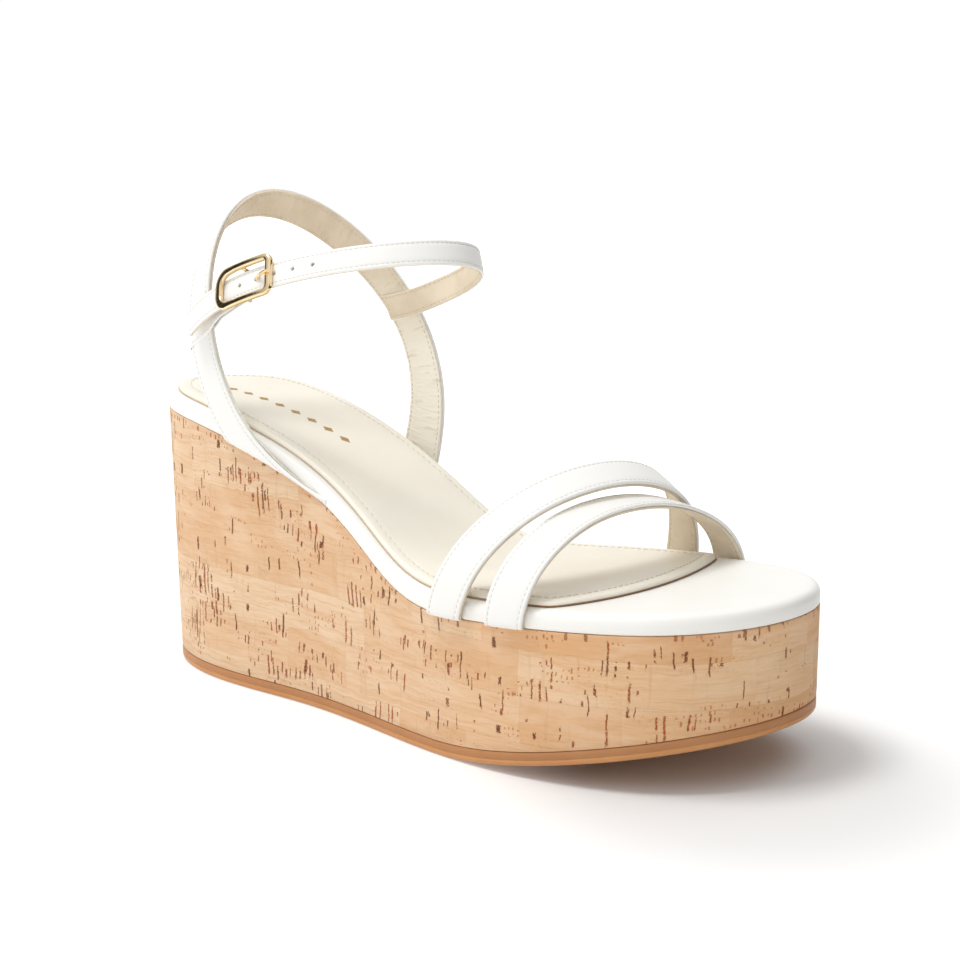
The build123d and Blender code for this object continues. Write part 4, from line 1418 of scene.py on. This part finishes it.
def make_set():
    bpy.context.scene.view_settings.view_transform = "Standard"
    bpy.ops.mesh.primitive_plane_add(size=40.0, location=(0, 0, 0))
    floor = bpy.context.object
    floor.name = "floor"
    floor.data.materials.append(backdrop())

    world = bpy.data.worlds.new("studio")
    bpy.context.scene.world = world
    world.use_nodes = True
    tree = world.node_tree
    tree.nodes.clear()
    place = tree.nodes.new("ShaderNodeTexCoord")
    split = tree.nodes.new("ShaderNodeSeparateXYZ")
    ramp = tree.nodes.new("ShaderNodeValToRGB")
    sky = tree.nodes.new("ShaderNodeBackground")
    out = tree.nodes.new("ShaderNodeOutputWorld")
    tree.links.new(place.outputs["Generated"], split.inputs[0])
    tree.links.new(split.outputs[2], ramp.inputs[0])
    tree.links.new(ramp.outputs[0], sky.inputs[0])
    tree.links.new(sky.outputs[0], out.inputs[0])
    ramp.color_ramp.elements[0].position = 0.10
    ramp.color_ramp.elements[0].color = (1.04, 1.04, 1.04, 1)
    ramp.color_ramp.elements[1].position = 1.0
    ramp.color_ramp.elements[1].color = (1.20, 1.20, 1.19, 1)
    middle = ramp.color_ramp.elements.new(0.2)
    middle.color = (0.57, 0.57, 0.567, 1)
    upper = ramp.color_ramp.elements.new(0.5)
    upper.color = (0.66, 0.66, 0.655, 1)
    sky.inputs[1].default_value = 0.98

    def softbox(name, position, target, size, power):
        light = bpy.data.lights.new(name, "AREA")
        light.shape = "RECTANGLE"
        light.size, light.size_y = size
        light.energy = power
        lamp = bpy.data.objects.new(name, light)
        lamp.location = position
        lamp.rotation_euler = (Vector(target) - Vector(position)).to_track_quat("-Z", "Y").to_euler()
        bpy.context.scene.collection.objects.link(lamp)

    softbox("key", (-0.9, -0.7, 2.9), (0.0, 0.0, 0.06), (1.0, 1.0), 43.0)
    softbox("front_fill", (0.4, -1.7, 1.0), (0.0, 0.0, 0.08), (1.4, 0.9), 0.8)

    def dark_card(name, position, size, reflected_only=True):
        """Dark panel out of the camera's sight, either only for reflections or also to hold back light."""
        bpy.ops.mesh.primitive_plane_add(size=1, location=position)
        card = bpy.context.object
        card.name = name
        card.scale = (*size, 1)
        facing = Vector((-0.055, -0.03, 0.14)) - Vector(position)
        card.rotation_euler = facing.to_track_quat("Z", "Y").to_euler()
        dark = Shade(name + "_felt")
        grain = dark.noise(dark.place(), 0.3, 2.0, 0.5)
        felt = dark.mix(grain, (0.01, 0.01, 0.01), (0.02, 0.02, 0.02))
        card.data.materials.append(dark.finish(felt, 0.95, None))
        card.visible_camera = False
        card.visible_diffuse = not reflected_only
        card.visible_shadow = not reflected_only
        card.visible_transmission = False

    dark_card("dark_card_left", (-0.80, -0.38, 0.20), (0.42, 0.9))
    dark_card("dark_card_above", (-0.15, 0.12, 1.0), (0.5, 0.32))
    dark_card("dark_card_right", (0.42, 0.20, 0.20), (0.70, 0.5), reflected_only=False)

    target = Vector(CAMERA_TARGET)
    around, above = math.radians(CAMERA_AZIMUTH), math.radians(CAMERA_ELEVATION)
    direction = Vector((
        math.sin(around) * math.cos(above), -math.cos(around) * math.cos(above), math.sin(above)))
    data = bpy.data.cameras.new("camera")
    data.lens = CAMERA_LENS
    data.sensor_width = 36.0
    data.clip_start = 0.05
    camera = bpy.data.objects.new("camera", data)
    camera.location = target + direction * CAMERA_DISTANCE
    camera.rotation_euler = (-direction).to_track_quat("-Z", "Y").to_euler()
    bpy.context.scene.collection.objects.link(camera)
    bpy.context.scene.camera = camera


# ---- Build ------------------------------------------------------------------------------------


def main():
    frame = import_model()

    white = leather("strap_leather", (0.850, 0.843, 0.818), (0.835, 0.823, 0.790))
    rim_white = leather("edge_leather", (0.885, 0.874, 0.835), (0.865, 0.848, 0.800), rough=0.40)
    bed = leather("footbed_leather", (0.875, 0.830, 0.730), (0.850, 0.795, 0.690), rough=0.38, mottle=0.8)
    beige = lining("lining_leather", (0.760, 0.665, 0.525), (0.695, 0.590, 0.445), 0.15)
    # loop lining: its darker colours stand in for shade at the top of the loop, and its last colour is
    # painted light for the paler lower part
    creased_lining_painted_light = lining("loop_lining", (0.710, 0.605, 0.465), (0.645, 0.535, 0.395), 0.9, (0.900, 0.850, 0.745))
    white_thread = thread("white_thread", (0.760, 0.730, 0.665))
    beige_thread = thread("beige_thread", (0.640, 0.560, 0.430))
    cork_material = cork()
    metal = gold()
    foam = plain("foam", (0.80, 0.76, 0.62), (0.72, 0.68, 0.54), 0.9, 1.5, 0.0002)
    raw_edge = cut_edge_and_front_shade()

    outsole = make_outsole(rubber())
    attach(outsole, "sandal")
    make_cork(cork_material)
    make_rim(rim_white)
    contour = make_footbed(bed, foam, raw_edge)
    path = PlanPath(contour, 4.1)
    points, faces = stitch_row(path, 0, 0, 0.16, 2.3, 1.7, 0.22, start=-2.3,
                               finish=path.distance[-1] + 1.0, seed=5)
    sewn = build("footbed_stitches", points, faces, thread("footbed_thread", (0.890, 0.860, 0.785)))
    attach(sewn, "sandal")
    foil = plain("gold_foil", (0.520, 0.330, 0.120), (0.420, 0.250, 0.080), 0.42, 1.2, 0.00003, 0.45)
    make_foil(contour, foil)

    fixed = (white, beige, white_thread, beige_thread)
    make_fixed_strap("vamp_strap", VAMP_STRAP, 3, fixed)
    make_fixed_strap("toe_strap", TOE_STRAP, 4, fixed)
    make_fixed_strap("heel_loop", HEEL_LOOP, 5, (white, creased_lining_painted_light, white_thread, beige_thread))
    tape = woven("tape", (0.78, 0.78, 0.74))
    make_ankle_strap(fixed, tape)
    make_seam(beige_thread)
    make_buckle(BuckleFrame(), metal, white, white_thread)

    inner_materials = {
        "wedge_core": plain("wedge_core", (0.50, 0.33, 0.19), (0.30, 0.18, 0.09), 0.85, 0.35, 0.0006),
        "shank": plain("shank_steel", (0.45, 0.45, 0.46), (0.40, 0.40, 0.41), 0.35, 0.8, 0.00005, 1.0),
        "shank_rivets": plain("rivet_steel", (0.52, 0.52, 0.52), (0.46, 0.46, 0.46), 0.35, 1.5, 0.00005, 1.0),
        "heel_nails": plain("nail_steel", (0.55, 0.55, 0.55), (0.48, 0.48, 0.48), 0.3, 1.5, 0.00005, 1.0),
        "insole_board": plain("insole_board", (0.46, 0.36, 0.24), (0.38, 0.29, 0.19), 0.9, 0.9, 0.0002),
        "platform_foam": foam,
        "ankle_strap_anchor": white,
    }
    for name, node in frame["nodes"].items():
        if node.hide_render:
            continue
        node.data.materials.clear()
        node.data.materials.append(inner_materials.get(name, tape if name.endswith("_tape") else white))

    make_set()


main()
